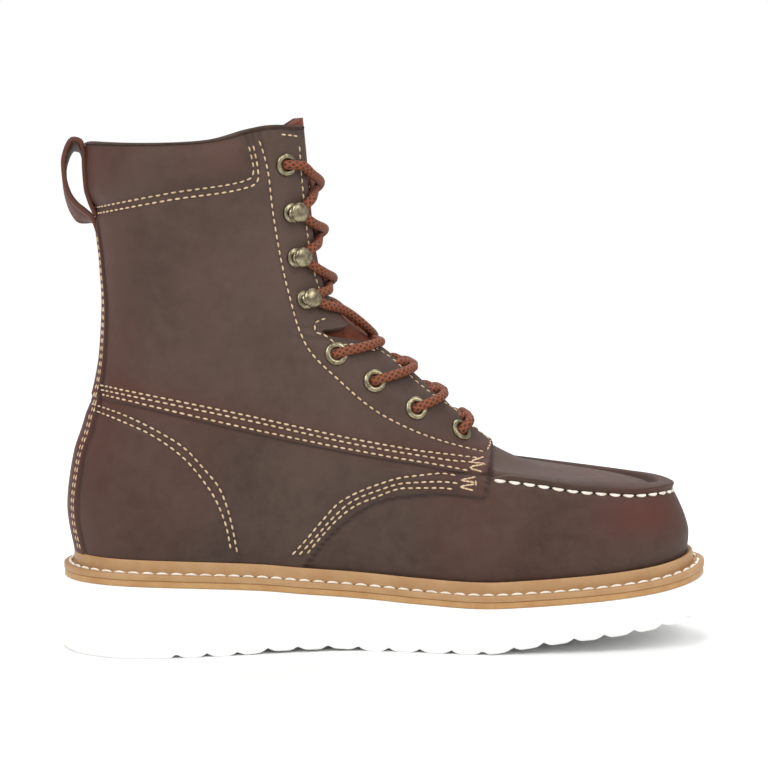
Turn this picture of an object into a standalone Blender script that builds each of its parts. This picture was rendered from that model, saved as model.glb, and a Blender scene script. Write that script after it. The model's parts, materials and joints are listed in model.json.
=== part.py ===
"""Wedge sole work boot for the left foot, as an assembly of separate solids.

The toe points along +X, the outer side of the foot lies at +Y and the sole stands on z = 0.
Tables are in millimetres, measured from the back of the sole; the objects are in metres.
The upper's surface is one function of a level (which ring of the last) and of the share of
that ring's length from the back seam to the front. Every leather piece is cut from it.
"""
import math
from collections import namedtuple

import bmesh
import bpy
import numpy as np
from mathutils import Vector

MM = 0.001

# Driving dimensions, millimetres
WALL = 2.6                # leather and lining of the upper
GAP = 0.3                 # between pieces that touch on the real boot
WELT_SEAT = 3.2           # height of the welt's underside above the outsole
EDGE_HEIGHT = 6.0         # height of the welt's flat top above the outsole
BEAD_TOP = 12.0           # height of the welt's bead above the outsole
BEAD = 3.0                # thickness of the bead
MIDSOLE = 2.6             # thickness of the midsole
INSOLE = 3.0              # thickness of the insole
LOBE_PITCH = 14.0         # ripples of the tread
LOBE_DEPTH = 1.8
FIRST_LOBE = 52.0         # where the smooth heel ends and the ripples start
LAST_LOBE = 290.0
TOE_FLARE = 3.0           # how far the outsole's foot stands out at the toe
SEAT = 0.6                # from the upper's surface to the underside of an overlay
OVERLAY = 1.3             # thickness of a leather overlay
LACE_REST = 0.6           # how far behind the throat's edge a lace crossing starts
RIDGE_HEIGHT = 1.9        # lip of the moc seam
PAD_BULGE = 2.6           # padding of the collar
LACE = 4.4                # diameter of the lace
LACE_LIFT = 0.8           # clearance of a crossing over the facing

COLUMNS = 24              # spaces on each side of a ring, from the back to the front

# Where the half widths of a level are given, along the foot
STATIONS = (46.0, 125.0, 207.0, 262.0)

# The last's centre line, seen from above
CENTRE = ((0, 0.0), (50, 0.5), (110, 3.0), (160, 4.6), (205, 3.6), (250, -1.2), (310, -9.0))

# Top and bottom of the outsole, seen from the side
SOLE_TOP = ((-5, 33.8), (30, 33.2), (62, 31.6), (90, 29.6), (112, 27.0), (137, 24.6),
            (164, 22.4), (192, 21.2), (217, 22.2), (245, 24.2), (273, 27.0), (297, 30.8),
            (312, 34.2))
SOLE_FOOT = ((-5, 0.0), (78, 0.0), (100, 1.3), (124, 1.3), (146, 0.0), (192, 0.0), (204, 1.6),
             (217, 3.6), (232, 5.6), (248, 7.4), (262, 9.2), (276, 11.2), (290, 13.6),
             (310, 17.2))

# Width of the welt past the upper
WELT_REACH = ((0, 9.0), (30, 7.6), (60, 6.8), (125, 6.4), (205, 7.2), (262, 8.2), (310, 9.6))

Level = namedtuple("Level", "at x_back z_back x_front z_front follow sag "
                            "heel waist_in waist_out ball_in ball_out toe_in toe_out "
                            "cap_back cap_front round_back round_front")

# at: place in the order of rings. x, z: its two ends in the side view. follow: how much of the
# sole's curve it keeps. sag: rise of its middle. heel to toe: half widths, inner and outer side.
# cap: length of its rounded ends. round: their exponent, 2 for an ellipse.
LEVELS = (
    Level(0, 9.0, 36.8, 294.6, 33.6, 1, 0, 31.5, 28.0, 33.0, 44.0, 48.5, 40.5, 40.5, 36, 56, 2.1, 2.15),
    Level(1, 8.0, 45.6, 295.4, 42.2, 1, 0, 32.5, 29.0, 34.0, 45.5, 50.0, 42.0, 42.0, 36, 57, 2.1, 2.15),
    Level(2, 5.0, 66.0, 295.8, 51.0, .8, 0, 34.0, 31.0, 35.5, 47.0, 51.5, 42.5, 42.5, 36, 57, 2.1, 2.15),
    Level(3, 8.2, 90.0, 289.0, 68.0, 0, 2.5, 33.5, 32.0, 35.0, 41.5, 45.0, 37.5, 37.5, 36, 52, 2.1, 2.15),
    Level(4, 11.8, 101.0, 272.0, 74.6, 0, -1, 33.5, 32.5, 35.0, 36.5, 39.5, 31.0, 31.0, 38, 44, 2.1, 2.2),
    Level(5, 14.9, 111.0, 231.0, 80.4, 0, -1, 34.0, 33.0, 35.0, 33.0, 35.5, 28.0, 28.0, 40, 46, 2.1, 2.1),
    Level(6, 17.8, 120.0, 201.5, 92.6, 0, 0, 34.5, 33.5, 35.0, 30.0, 32.0, 26.0, 26.0, 42, 50, 2.1, 2.3),
    Level(7, 20.9, 137.0, 178.6, 114.4, 0, 0, 35.5, 33.0, 34.0, 28.0, 29.0, 24.0, 24.0, 44, 48, 2.1, 2.6),
    Level(8, 21.8, 152.0, 156.0, 134.0, 0, 0, 37.0, 31.5, 32.0, 28.0, 29.0, 24.0, 24.0, 46, 42, 2.1, 2.6),
    Level(9, 22.2, 165.0, 137.0, 148.5, 0, 0, 38.5, 29.0, 29.5, 27.0, 28.0, 24.0, 24.0, 46, 34, 2.1, 2.5),
    Level(10, 21.6, 178.0, 125.0, 168.0, 0, 0, 40.5, 27.0, 27.5, 27.0, 28.0, 24.0, 24.0, 46, 26, 2.1, 2.4),
    Level(11, 20.4, 190.0, 120.0, 195.0, 0, 0, 42.0, 26.0, 26.5, 26.0, 26.5, 24.0, 24.0, 46, 22, 2.1, 2.4),
    Level(12, 18.8, 203.0, 118.0, 219.0, 0, 0, 42.5, 26.0, 26.5, 26.0, 26.5, 24.0, 24.0, 46, 22, 2.1, 2.4),
    Level(13, 15.2, 234.2, 116.0, 241.0, 0, -1, 42.5, 27.0, 27.5, 27.0, 27.5, 24.0, 24.0, 46, 22, 2.1, 2.4),
    Level(14, 14.6, 241.0, 115.4, 248.0, 0, -1, 42.5, 27.0, 27.5, 27.0, 27.5, 24.0, 24.0, 46, 22, 2.1, 2.4),
)

# Rings of the upper's mesh, by level
UPPER_ROWS = (0, 1, 1.5, 2, 2.5, 2.92, 3, 3.14, 3.32, 3.46, 4, 4.5, 5, 5.5, 6, 6.25, 7, 7.7,
              8.4, 8.75, 9.0, 9.25, 10, 11, 11.95, 12.15, 12.6, 13)
THROAT_LEVEL = 6

# Half width of the throat's opening, by level, with the notch at the ankle
THROAT = ((6, 0.0), (6.25, 9.0), (7, 14.0), (8.4, 16.0), (8.75, 22.5), (9.0, 23.0),
          (9.25, 18.0), (10, 19.0), (11, 20.0), (14, 21.5))

# The moc seam's lip: how high it stands, by level
RIDGE = ((2.92, 0.0), (3.0, 0.35), (3.14, 1.0), (3.32, 0.9), (3.46, 0.0))
RIDGE_START = (205.0, 222.0)  # it rises out of the wall between these places along the foot

# The tongue's half width along the ring, by level
TONGUE = ((5.4, 12.0), (6, 18.0), (7, 26.0), (8, 31.0), (9, 36.0), (11, 38.0), (13, 42.0),
          (14, 40.0))
TONGUE_THICKNESS = 2.8
TONGUE_CLEARANCE = 0.9    # between the upper's lining and the tongue

# The lower quarter and the strap above it, as levels along the foot: the quarter reaches from
# foot to seam and the strap from seam to top
Band = namedtuple("Band", "x foot seam top")
BANDS = (Band(36, 1.06, 5.44, 5.86), Band(48, 1.06, 5.27, 5.72), Band(64, 1.06, 5.07, 5.55),
         Band(82, 1.06, 4.83, 5.35), Band(100, 1.06, 4.57, 5.10), Band(118, 1.06, 4.33, 4.90),
         Band(127, 1.40, 4.22, 4.90), Band(135, 1.95, 4.11, 4.95), Band(143, 2.25, 4.02, 5.10),
         Band(151, 2.48, 3.95, 5.30), Band(163, 2.62, 3.87, 5.50), Band(170, 2.65, 3.83, 5.60),
         Band(177, 2.68, 3.79, 5.60), Band(184, 2.70, 3.75, 5.50), Band(190, 2.70, 3.71, 5.30),
         Band(196, 2.70, 3.68, 4.90))
SEAM_GAP = 0.08           # levels left open on each side of the seam

# The backstay's half width along the ring, by level, and the eyestay's depth
BACKSTAY = ((1.06, 17.5), (4, 16.5), (6, 13.5), (8, 11.5), (12, 10.0))
EYESTAY = ((6.0, 50.0), (7, 50.0), (8, 42.0), (9, 31.0), (10, 22.0), (11, 20.0), (12, 20.5),
           (13, 23.0))

# Hardware along the throat: level, and distance behind the throat's edge
Fitting = namedtuple("Fitting", "level behind")
EYELETS = (Fitting(6.30, 14.3), Fitting(6.74, 25.2), Fitting(7.32, 30.7), Fitting(7.98, 33.4),
           Fitting(12.32, 12.3))
HOOKS = (Fitting(9.65, 12.6), Fitting(10.52, 10.0), Fitting(11.36, 9.0))
EYELET_RADII = (5.4, 2.7)
TOP_EYELET_RADII = (4.8, 2.5)
EYELET_HEIGHT = 1.2
FITTING_LIFT = 0.75       # lets a flat base clear the curve of the eyestay

# The pull loop's middle line in the side view, from its foot on the back seam to the collar
LOOP_PATH = ((18.2, 192.5), (17.0, 198.2), (13.2, 201.8), (8.4, 205.0), (4.0, 211.0),
             (1.4, 219.0), (1.2, 227.0), (3.2, 234.0), (7.2, 238.4), (11.0, 237.6),
             (12.4, 233.0), (12.6, 227.0))
LOOP_THICKNESS = 2.2
LOOP_WIDTH = 15.0


def clear_scene():
    for thing in list(bpy.data.objects):
        bpy.data.objects.remove(thing, do_unlink=True)


def smooth(table, at, level_ends=False):
    """A smooth curve through a table's points that never overshoots them."""
    xs = np.array([row[0] for row in table], float)
    ys = np.array([row[1] for row in table], float)
    step = np.diff(xs)
    slope = np.diff(ys) / step
    ends = np.zeros(len(xs))
    for i in range(1, len(xs) - 1):
        if slope[i - 1] * slope[i] > 0:
            ends[i] = 2 * slope[i - 1] * slope[i] / (slope[i - 1] + slope[i])
    if level_ends:
        ends[0] = ends[-1] = 0.0
    else:
        ends[0], ends[-1] = slope[0], slope[-1]
    at = np.clip(np.asarray(at, float), xs[0], xs[-1])
    i = np.clip(np.searchsorted(xs, at, side="right") - 1, 0, len(step) - 1)
    u = (at - xs[i]) / step[i]
    return (ys[i] * (1 + 2 * u) * (1 - u) ** 2 + ys[i + 1] * u * u * (3 - 2 * u)
            + step[i] * (ends[i] * u * (1 - u) ** 2 - ends[i + 1] * u * u * (1 - u)))


def ease(start, end, at):
    """0 before start and 1 after end, with a soft rise between."""
    u = np.clip((np.asarray(at, float) - start) / (end - start), 0, 1)
    return u * u * (3 - 2 * u)


def level_at(place):
    """The table's row for any place between two levels."""
    values = {"at": place}
    for name in Level._fields[1:]:
        values[name] = float(smooth([(row.at, getattr(row, name)) for row in LEVELS], place))
    return Level(**values)


def half_ring(place, side, opening=0.0, samples=121):
    """One side of a ring as points from the back seam to the front, in millimetres.

    side is -1 for the inner side of the foot and +1 for the outer side. Points nearer to the
    centre line than the opening are left out at the front.
    """
    row = level_at(place)
    along = (1 - np.cos(np.linspace(0, math.pi, samples))) / 2
    x = row.x_back + (row.x_front - row.x_back) * along
    widths = ((row.heel, row.waist_in, row.ball_in, row.toe_in) if side < 0
              else (row.heel, row.waist_out, row.ball_out, row.toe_out))
    width = smooth(list(zip(STATIONS, widths)), x, level_ends=True)
    for depth, cap, power in ((x - row.x_back, row.cap_back, row.round_back),
                              (row.x_front - x, row.cap_front, row.round_front)):
        rest = np.clip(1 - depth / cap, 0, 1)
        width = width * np.clip(1 - rest ** power, 0, 1) ** (1 / power)
    y = smooth(CENTRE, x) + side * width
    top = smooth(SOLE_TOP, x)
    chord = top[0] + (top[-1] - top[0]) * along
    z = (row.z_back + (row.z_front - row.z_back) * along + row.follow * (top - chord)
         + row.sag * 4 * along * (1 - along))
    points = np.stack([x, y, z], axis=1)
    if opening > 0:
        far = np.nonzero((width >= opening) | (along < 0.5))[0][-1]
        share = (width[far] - opening) / (width[far] - width[far + 1])
        cut = points[far] + (points[far + 1] - points[far]) * share
        points = np.vstack([points[:far + 1], cut])
    return points


def lengths(points):
    steps = np.linalg.norm(np.diff(points, axis=0), axis=1)
    return np.concatenate([[0], np.cumsum(steps)])


def at_lengths(points, wanted):
    run = lengths(points)
    return np.stack([np.interp(wanted, run, points[:, axis]) for axis in range(3)], axis=1)


def shares(count):
    """Shares of a half ring's length, closer together at its two ends."""
    q = np.linspace(0, 1, count + 1)
    return q - 0.4 * np.sin(2 * math.pi * q) / (2 * math.pi)


def ring(place, open_front=True, columns=COLUMNS):
    """A whole ring: from the front round the outer side, the back and the inner side."""
    opening = float(smooth(THROAT, place)) if open_front and place > THROAT_LEVEL else 0.0
    sides = []
    for side in (1, -1):
        half = half_ring(place, side, opening)
        sides.append(at_lengths(half, shares(columns) * lengths(half)[-1]))
    return np.vstack([sides[0][::-1], sides[1][1:]])


def grid_normals(grid, closed):
    """Outward normals of a grid of rings; closed says which rings meet at the front."""
    across = np.zeros_like(grid)
    across[:, 1:-1] = grid[:, 2:] - grid[:, :-2]
    across[:, 0] = grid[:, 1] - grid[:, 0]
    across[:, -1] = grid[:, -1] - grid[:, -2]
    for i, meets in enumerate(closed):
        if meets:
            across[i, 0] = grid[i, 1] - grid[i, -2]
            across[i, -1] = across[i, 0]
    up = np.zeros_like(grid)
    up[1:-1] = grid[2:] - grid[:-2]
    up[0] = grid[1] - grid[0]
    up[-1] = grid[-1] - grid[-2]
    normals = np.cross(across, up)
    size = np.linalg.norm(normals, axis=2, keepdims=True)
    return normals / np.maximum(size, 1e-9)


def surface(rows, open_front=True, columns=COLUMNS):
    """Rings and their outward normals, as two grids."""
    grid = np.stack([ring(place, open_front, columns) for place in rows])
    closed = [not open_front or place <= THROAT_LEVEL for place in rows]
    return grid, grid_normals(grid, closed)


def upper_relief(place, point, column):
    """How far the upper's wall stands out at a level: the moc lip and the padded collar."""
    lip = float(smooth(RIDGE, place)) if RIDGE[0][0] < place < RIDGE[-1][0] else 0.0
    lip = RIDGE_HEIGHT * lip * float(ease(RIDGE_START[0], RIDGE_START[1], point[0]))
    rise = float(ease(11.95, 12.3, place)) * (1 - 0.55 * float(ease(12.6, 13, place)))
    from_back = abs(column - COLUMNS) / COLUMNS
    pad = PAD_BULGE * rise * (1 - float(ease(0.66, 0.78, from_back)))
    return lip + pad


def new_object(name, verts, faces, colour, roughness, metallic=0.0, smooth_angle=40):
    """An object from points in millimetres."""
    mesh = bpy.data.meshes.new(name)
    mesh.from_pydata([tuple(np.asarray(v, float) * MM) for v in verts], [], faces)
    work = bmesh.new()
    work.from_mesh(mesh)
    bmesh.ops.remove_doubles(work, verts=work.verts, dist=1e-6)
    bmesh.ops.dissolve_degenerate(work, edges=work.edges, dist=1e-6)
    bmesh.ops.recalc_face_normals(work, faces=work.faces)
    work.to_mesh(mesh)
    work.free()
    mesh.shade_smooth()
    mesh.set_sharp_from_angle(angle=math.radians(smooth_angle))
    thing = bpy.data.objects.new(name, mesh)
    bpy.context.scene.collection.objects.link(thing)
    material = bpy.data.materials.get(name) or bpy.data.materials.new(name)
    material.use_nodes = True
    shader = material.node_tree.nodes["Principled BSDF"]
    shader.inputs["Base Color"].default_value = (*colour, 1)
    shader.inputs["Roughness"].default_value = roughness
    shader.inputs["Metallic"].default_value = metallic
    mesh.materials.append(material)
    return thing


LEATHER = ((0.075, 0.047, 0.037), 0.62)
LEATHER_DARK = ((0.058, 0.034, 0.026), 0.62)
LINING = ((0.17, 0.055, 0.025), 0.85)
TAN = ((0.53, 0.30, 0.13), 0.55)
RUBBER = ((0.88, 0.88, 0.86), 0.6)
BRASS = ((0.30, 0.27, 0.19), 0.38, 1.0)
LACE_COLOUR = ((0.20, 0.045, 0.015), 0.8)


def shell_faces(rows, columns, index, closed_rows=()):
    """Faces of a sheet with two skins and closed edges.

    index(skin, row, column) gives the point's number; closed_rows are the rows whose first and
    last columns are one point, so the sheet has no side edge below the last of them.
    """
    faces = []
    for i in range(rows - 1):
        for j in range(columns - 1):
            corners = ((i, j), (i, j + 1), (i + 1, j + 1), (i + 1, j))
            faces.append([index(0, *corner) for corner in corners])
            faces.append([index(1, *corner) for corner in reversed(corners)])
        if i + 1 in closed_rows:
            continue
        for j, turn in ((0, 1), (columns - 1, -1)):
            edge = [index(0, i, j), index(0, i + 1, j), index(1, i + 1, j), index(1, i, j)]
            faces.append(edge[::turn])
    for j in range(columns - 1):
        faces.append([index(0, 0, j + 1), index(0, 0, j), index(1, 0, j), index(1, 0, j + 1)])
        last = rows - 1
        faces.append([index(0, last, j), index(0, last, j + 1), index(1, last, j + 1),
                      index(1, last, j)])
    return faces


def sheet(name, outer, inner, look, closed_rows=()):
    """A sheet between two grids of points, open or joined round in its closed rows."""
    rows, columns = outer.shape[:2]
    verts = list(outer.reshape(-1, 3)) + list(inner.reshape(-1, 3))

    def index(skin, i, j):
        if i in closed_rows and j == columns - 1:
            j = 0
        return skin * rows * columns + i * columns + j

    return new_object(name, verts, shell_faces(rows, columns, index, closed_rows), *look)


def build_upper():
    """Vamp, moc toe, quarters and shaft as one wall."""
    grid, normals = surface(UPPER_ROWS)
    outer = grid.copy()
    for i, place in enumerate(UPPER_ROWS):
        for j in range(grid.shape[1]):
            outer[i, j] += normals[i, j] * upper_relief(place, grid[i, j], j)
    inner = grid - normals * WALL
    flat = smooth(SOLE_TOP, grid[0, :, 0]) + WELT_SEAT
    outer[0, :, 2] = flat
    inner[0, :, 2] = smooth(SOLE_TOP, inner[0, :, 0]) + WELT_SEAT
    closed = [i for i, place in enumerate(UPPER_ROWS) if place <= THROAT_LEVEL]
    return sheet("upper", outer, inner, LEATHER, closed)


def sideways(loop):
    """Outward directions of a ring, level with the ground."""
    along = np.roll(loop, -1, axis=0) - np.roll(loop, 1, axis=0)
    out = np.stack([along[:, 1], -along[:, 0], np.zeros(len(loop))], axis=1)
    out /= np.linalg.norm(out, axis=1, keepdims=True)
    middle = loop.mean(axis=0)
    if np.sum((loop - middle) * out) < 0:
        out = -out
    return out


def foot_loop(inset=0.0, reach=False, columns=COLUMNS):
    """The upper's lowest ring as a closed loop, moved out to the welt's edge or inwards."""
    loop = ring(0, columns=columns)[:-1]
    out = sideways(loop)
    distance = smooth(WELT_REACH, loop[:, 0]) if reach else np.full(len(loop), -inset)
    return loop + out * distance[:, None]


def slab(name, loop, low, high, look):
    """A sheet with a closed outline whose two faces follow two curves along the foot."""
    count = len(loop)
    half = count // 2
    verts = []
    for height in (low, high):
        for point in loop:
            verts.append((point[0], point[1], height(point[0])))
    faces = []
    for i in range(count):
        j = (i + 1) % count
        faces.append((i, j, count + j, count + i))
    for i in range(half):
        right, left = i, (count - i) % count
        right_next, left_next = i + 1, count - i - 1
        ring_face = [right, right_next] + ([left_next] if left_next != right_next else [])
        ring_face += [left] if left != right else []
        faces.append(tuple(reversed(ring_face)))
        faces.append(tuple(count + k for k in ring_face))
    return new_object(name, verts, faces, *look)


def top_plus(extra):
    return lambda x: float(smooth(SOLE_TOP, x)) + extra


def build_midsole():
    return slab("midsole", foot_loop(reach=True, columns=2 * COLUMNS), top_plus(GAP),
                top_plus(GAP + MIDSOLE), TAN)


def build_insole():
    return slab("insole", foot_loop(inset=WALL + 0.9), top_plus(WELT_SEAT),
                top_plus(WELT_SEAT + INSOLE), ((0.35, 0.22, 0.13), 0.9))


def build_welt():
    """A storm welt: a flat ledge for the stitches and a bead that climbs the upper."""
    low, _ = surface((0, 1), columns=COLUMNS)
    foot = low[0][:-1]
    feather = low[1][:-1]
    out = sideways(foot)
    reach = smooth(WELT_REACH, foot[:, 0])
    lean = feather - foot
    # share of the bead's width or of the whole reach, height over the outsole
    profile = (("foot", 0.0, WELT_SEAT), ("edge", 1.0, WELT_SEAT), ("edge", 1.0, EDGE_HEIGHT - 0.5),
               ("edge", 0.93, EDGE_HEIGHT), ("bead", 1.08, EDGE_HEIGHT - 0.2),
               ("bead", 1.0, EDGE_HEIGHT + 2.0), ("bead", 0.78, BEAD_TOP - 1.4),
               ("bead", 0.4, BEAD_TOP - 0.3), ("foot", 0.0, BEAD_TOP - 0.1))
    rings = []
    for kind, share, height in profile:
        climb = (height - WELT_SEAT) / (BEAD_TOP - WELT_SEAT)
        base = foot + lean * climb * (kind != "edge")
        width = {"foot": np.full(len(foot), GAP), "bead": GAP + share * np.full(len(foot), BEAD),
                 "edge": share * reach}[kind]
        points = base + out * width[:, None]
        points[:, 2] = smooth(SOLE_TOP, points[:, 0]) + height
        rings.append(points)
    count = len(foot)
    verts = np.vstack(rings)
    faces = []
    for k in range(len(rings)):
        k_next = (k + 1) % len(rings)
        for i in range(count):
            j = (i + 1) % count
            faces.append((k * count + i, k * count + j, k_next * count + j, k_next * count + i))
    return new_object("welt", verts, faces, *TAN)


def tread_stations():
    """Places along the foot for the outsole's ribs, with five to each lobe of the tread."""
    ends = foot_loop(reach=True, columns=120)
    back, front = ends[:, 0].min(), ends[:, 0].max()
    places = list(back + (FIRST_LOBE - back) * (1 - np.cos(np.linspace(0, math.pi / 2, 9))))[:-1]
    lobes = round((LAST_LOBE - FIRST_LOBE) / LOBE_PITCH)
    for k in range(lobes):
        start = FIRST_LOBE + k * LOBE_PITCH
        places += [start + LOBE_PITCH * share for share in (0.0, 0.26, 0.74)]
    last = FIRST_LOBE + lobes * LOBE_PITCH
    places += list(front - (front - last) * (1 - np.sin(np.linspace(0, math.pi / 2, 7))))
    return np.array(places), ends


def tread_rise(x):
    """Height of the tread's ripples over the sole's foot: zero on a lobe, full in a groove."""
    if x < FIRST_LOBE - 0.01 or x > LAST_LOBE:
        return 0.0
    share = ((x - FIRST_LOBE) / LOBE_PITCH + 1e-6) % 1.0
    return LOBE_DEPTH * max(0.0, 1 - min(share, 1 - share) / 0.26)


def build_outsole():
    """The wedge: its side leans out a little to the foot, most of all at the toe."""
    places, outline = tread_stations()
    half = len(outline) // 2
    outer_side = outline[:half + 1][::-1]
    inner_side = np.vstack([outline[half:], outline[:1]])
    widths = []
    for side in (inner_side, outer_side):
        order = np.argsort(side[:, 0])
        widths.append(np.interp(places, side[order, 0], side[order, 1]))
    centre = outline[half, 1] + (outline[0, 1] - outline[half, 1]) * (
        (places - places[0]) / (places[-1] - places[0]))
    low_inner, low_outer = widths
    low_inner[0] = low_outer[0] = centre[0]
    low_inner[-1] = low_outer[-1] = centre[-1]
    flare = 0.8 + (TOE_FLARE - 0.8) * ease(230, 300, places)
    middle = (places[0] + places[-1]) / 2
    stretch = np.where(places > middle, 1.0, 0.0)
    verts = []
    rows = []

    def add_row(reach, height):
        row = []
        for sign, side in ((-1, low_inner), (1, low_outer)):
            for k, x in enumerate(places):
                spread = (side[k] - centre[k])
                size = max(abs(spread), 1e-6)
                nose = reach * flare[k] * stretch[k] * ease(0.9, 1.0, (x - middle)
                                                            / (places[-1] - middle))
                grown = spread + sign * reach * flare[k] * min(1.0, size / 12.0)
                if k in (0, len(places) - 1) and sign > 0:
                    row.append(row[k])
                    continue
                row.append(len(verts))
                verts.append((x + nose, centre[k] + grown, height(x)))
        rows.append(row)

    add_row(0.0, lambda x: float(smooth(SOLE_TOP, x)))
    add_row(0.6, lambda x: float(smooth(SOLE_FOOT, x)) + 0.42
            * float(smooth(SOLE_TOP, x) - smooth(SOLE_FOOT, x)))
    add_row(1.0, lambda x: float(smooth(SOLE_FOOT, x)) + 1.6 + 0.6 * tread_rise(x))
    add_row(0.55, lambda x: float(smooth(SOLE_FOOT, x)) + tread_rise(x))
    count = len(places)
    faces = []
    for upper, lower in zip(rows[:-1], rows[1:]):
        for offset in (0, count):
            for k in range(count - 1):
                a, b = offset + k, offset + k + 1
                face = [upper[a], upper[b], lower[b], lower[a]]
                faces.append(face if offset else face[::-1])
    for row, turn in ((rows[0], 1), (rows[-1], -1)):
        for k in range(count - 1):
            face = []
            for vert in (row[k], row[k + 1], row[count + k + 1], row[count + k]):
                if vert not in face:
                    face.append(vert)
            faces.append(face[::turn])
    return new_object("outsole", verts, faces, *RUBBER)


def build_tongue():
    """The tongue, under the throat and a little higher than the collar."""
    rows = [5.5, 6] + [place for place in UPPER_ROWS if 6 < place < 12] + [12, 12.6, 13, 13.5, 14]
    across = np.linspace(-1, 1, 11)
    outer = []
    for place in rows:
        width = float(smooth(TONGUE, place))
        line = []
        for v in across:
            side = -1 if v < 0 else 1
            half = half_ring(place, side)
            line.append(at_lengths(half, [lengths(half)[-1] - abs(v) * width])[0])
        outer.append(line)
    grid = np.array(outer)
    normals = grid_normals(grid, [False] * len(rows))
    outside = grid - normals * (WALL + TONGUE_CLEARANCE)
    inside = outside - normals * TONGUE_THICKNESS
    return sheet("tongue", outside, inside, LINING)


def edge_line(place, side):
    """One side of a ring, ending at the throat's edge, and its length."""
    opening = float(smooth(THROAT, place)) if place > THROAT_LEVEL else 0.0
    half = half_ring(place, side, opening)
    return half, lengths(half)[-1]


def on_edge(place, behind, side):
    """A point of the upper a given distance behind the throat's edge."""
    half, total = edge_line(place, side)
    return at_lengths(half, [total - behind])[0]


def overlay(name, grid, side, look=LEATHER_DARK):
    """A leather overlay on a grid of the upper's points, rows upwards, columns frontwards."""
    if side > 0:
        grid = grid[:, ::-1]
    normals = grid_normals(grid, [False] * len(grid))
    if np.sum(normals[:, :, 1]) * side < 0:
        normals = -normals
    inner = grid + normals * SEAT
    return sheet(name, inner + normals * OVERLAY, inner, look)


def build_eyestay(side, name):
    rows = [6.06] + [place for place in UPPER_ROWS if 6.06 < place < 12.9] + [12.93]
    shares_behind = np.linspace(1, 0, 9)
    grid = []
    for place in rows:
        far = float(smooth(EYESTAY, place)) - (float(smooth(THROAT, place)) - 16.0
                                               if 8.4 < place < 9.25 else 0.0)
        grid.append([on_edge(place, 0.6 + (far - 0.6) * share, side)
                     for share in shares_behind])
    return overlay(name, np.array(grid), side)


def on_side(place, x, side):
    """A point of the upper's side at a level and a place along the foot."""
    half = half_ring(place, side)
    order = np.argsort(half[:, 0])
    return np.array([np.interp(x, half[order, 0], half[order, axis]) for axis in range(3)])


def side_normal(place, x, side):
    along = on_side(place, x + 1.5, side) - on_side(place, x - 1.5, side)
    up = on_side(place + 0.05, x, side) - on_side(place - 0.05, x, side)
    normal = np.cross(along, up)
    normal /= np.linalg.norm(normal)
    return normal if normal[1] * side > 0 else -normal


def build_band(name, spans, side, layers):
    """A panel between two levels given along the foot, as rows of place, low and high."""
    shape = (layers + 1, len(spans), 3)
    grid, normals = np.zeros(shape), np.zeros(shape)
    for j, (x, low, high) in enumerate(spans):
        for i in range(layers + 1):
            place = low + (high - low) * i / layers
            grid[i, j] = on_side(place, x, side)
            normals[i, j] = side_normal(place, x, side)
    inner = grid + normals * SEAT
    outer = inner + normals * OVERLAY
    if side > 0:
        outer, inner = outer[:, ::-1], inner[:, ::-1]
    return sheet(name, outer, inner, LEATHER_DARK)


def build_backstay():
    rows = (1.06, 1.5, 2, 2.5, 3, 3.5, 4, 4.5, 5, 5.5, 6, 6.6, 7.3, 8, 9, 10, 10.6, 11.1)
    grid = []
    for place in rows:
        width = float(smooth(BACKSTAY, place))
        inner_half, outer_half = half_ring(place, -1), half_ring(place, 1)
        line = [at_lengths(outer_half, [width * k / 3])[0] for k in (3, 2, 1)]
        line += [at_lengths(inner_half, [width * k / 3])[0] for k in (0, 1, 2, 3)]
        grid.append(line)
    grid = np.array(grid)
    normals = grid_normals(grid, [False] * len(rows))
    if np.sum(normals[:, :, 0]) > 0:
        normals = -normals
    inner = grid + normals * SEAT
    return sheet("backstay", inner + normals * OVERLAY, inner, LEATHER_DARK)


def build_loop():
    path = np.array(LOOP_PATH)
    along = lengths(np.column_stack([path, np.zeros(len(path))]))
    fine = np.linspace(0, along[-1], 23)
    x = smooth(list(zip(along, path[:, 0])), fine)
    z = smooth(list(zip(along, path[:, 1])), fine)
    line = np.stack([x, z], axis=1)
    tangent = np.gradient(line, axis=0)
    tangent /= np.linalg.norm(tangent, axis=1, keepdims=True)
    out = np.stack([-tangent[:, 1], tangent[:, 0]], axis=1)
    verts = []
    for point, normal in zip(line, out):
        for y, lift in ((-1, -1), (1, -1), (1, 1), (-1, 1)):
            side = point + normal * lift * LOOP_THICKNESS / 2
            verts.append((side[0], y * LOOP_WIDTH / 2, side[1]))
    faces = [(3, 2, 1, 0), tuple(len(verts) - 4 + k for k in range(4))]
    for i in range(len(line) - 1):
        for k in range(4):
            a, b = 4 * i + k, 4 * i + (k + 1) % 4
            faces.append((a, b, b + 4, a + 4))
    return new_object("pull_loop", verts, faces, *LEATHER_DARK)


def seat_frame(place, behind, side):
    """Where a fitting sits: a point, the outward normal and the way to the throat."""
    point = on_edge(place, behind, side)
    front = on_edge(place, behind - 1.5, side) - on_edge(place, behind + 1.5, side)
    up = on_edge(place + 0.08, behind, side) - on_edge(place - 0.08, behind, side)
    normal = np.cross(front, up)
    normal /= np.linalg.norm(normal)
    if normal[1] * side < 0:
        normal = -normal
    front = front / np.linalg.norm(front)
    return point, normal, front


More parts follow.
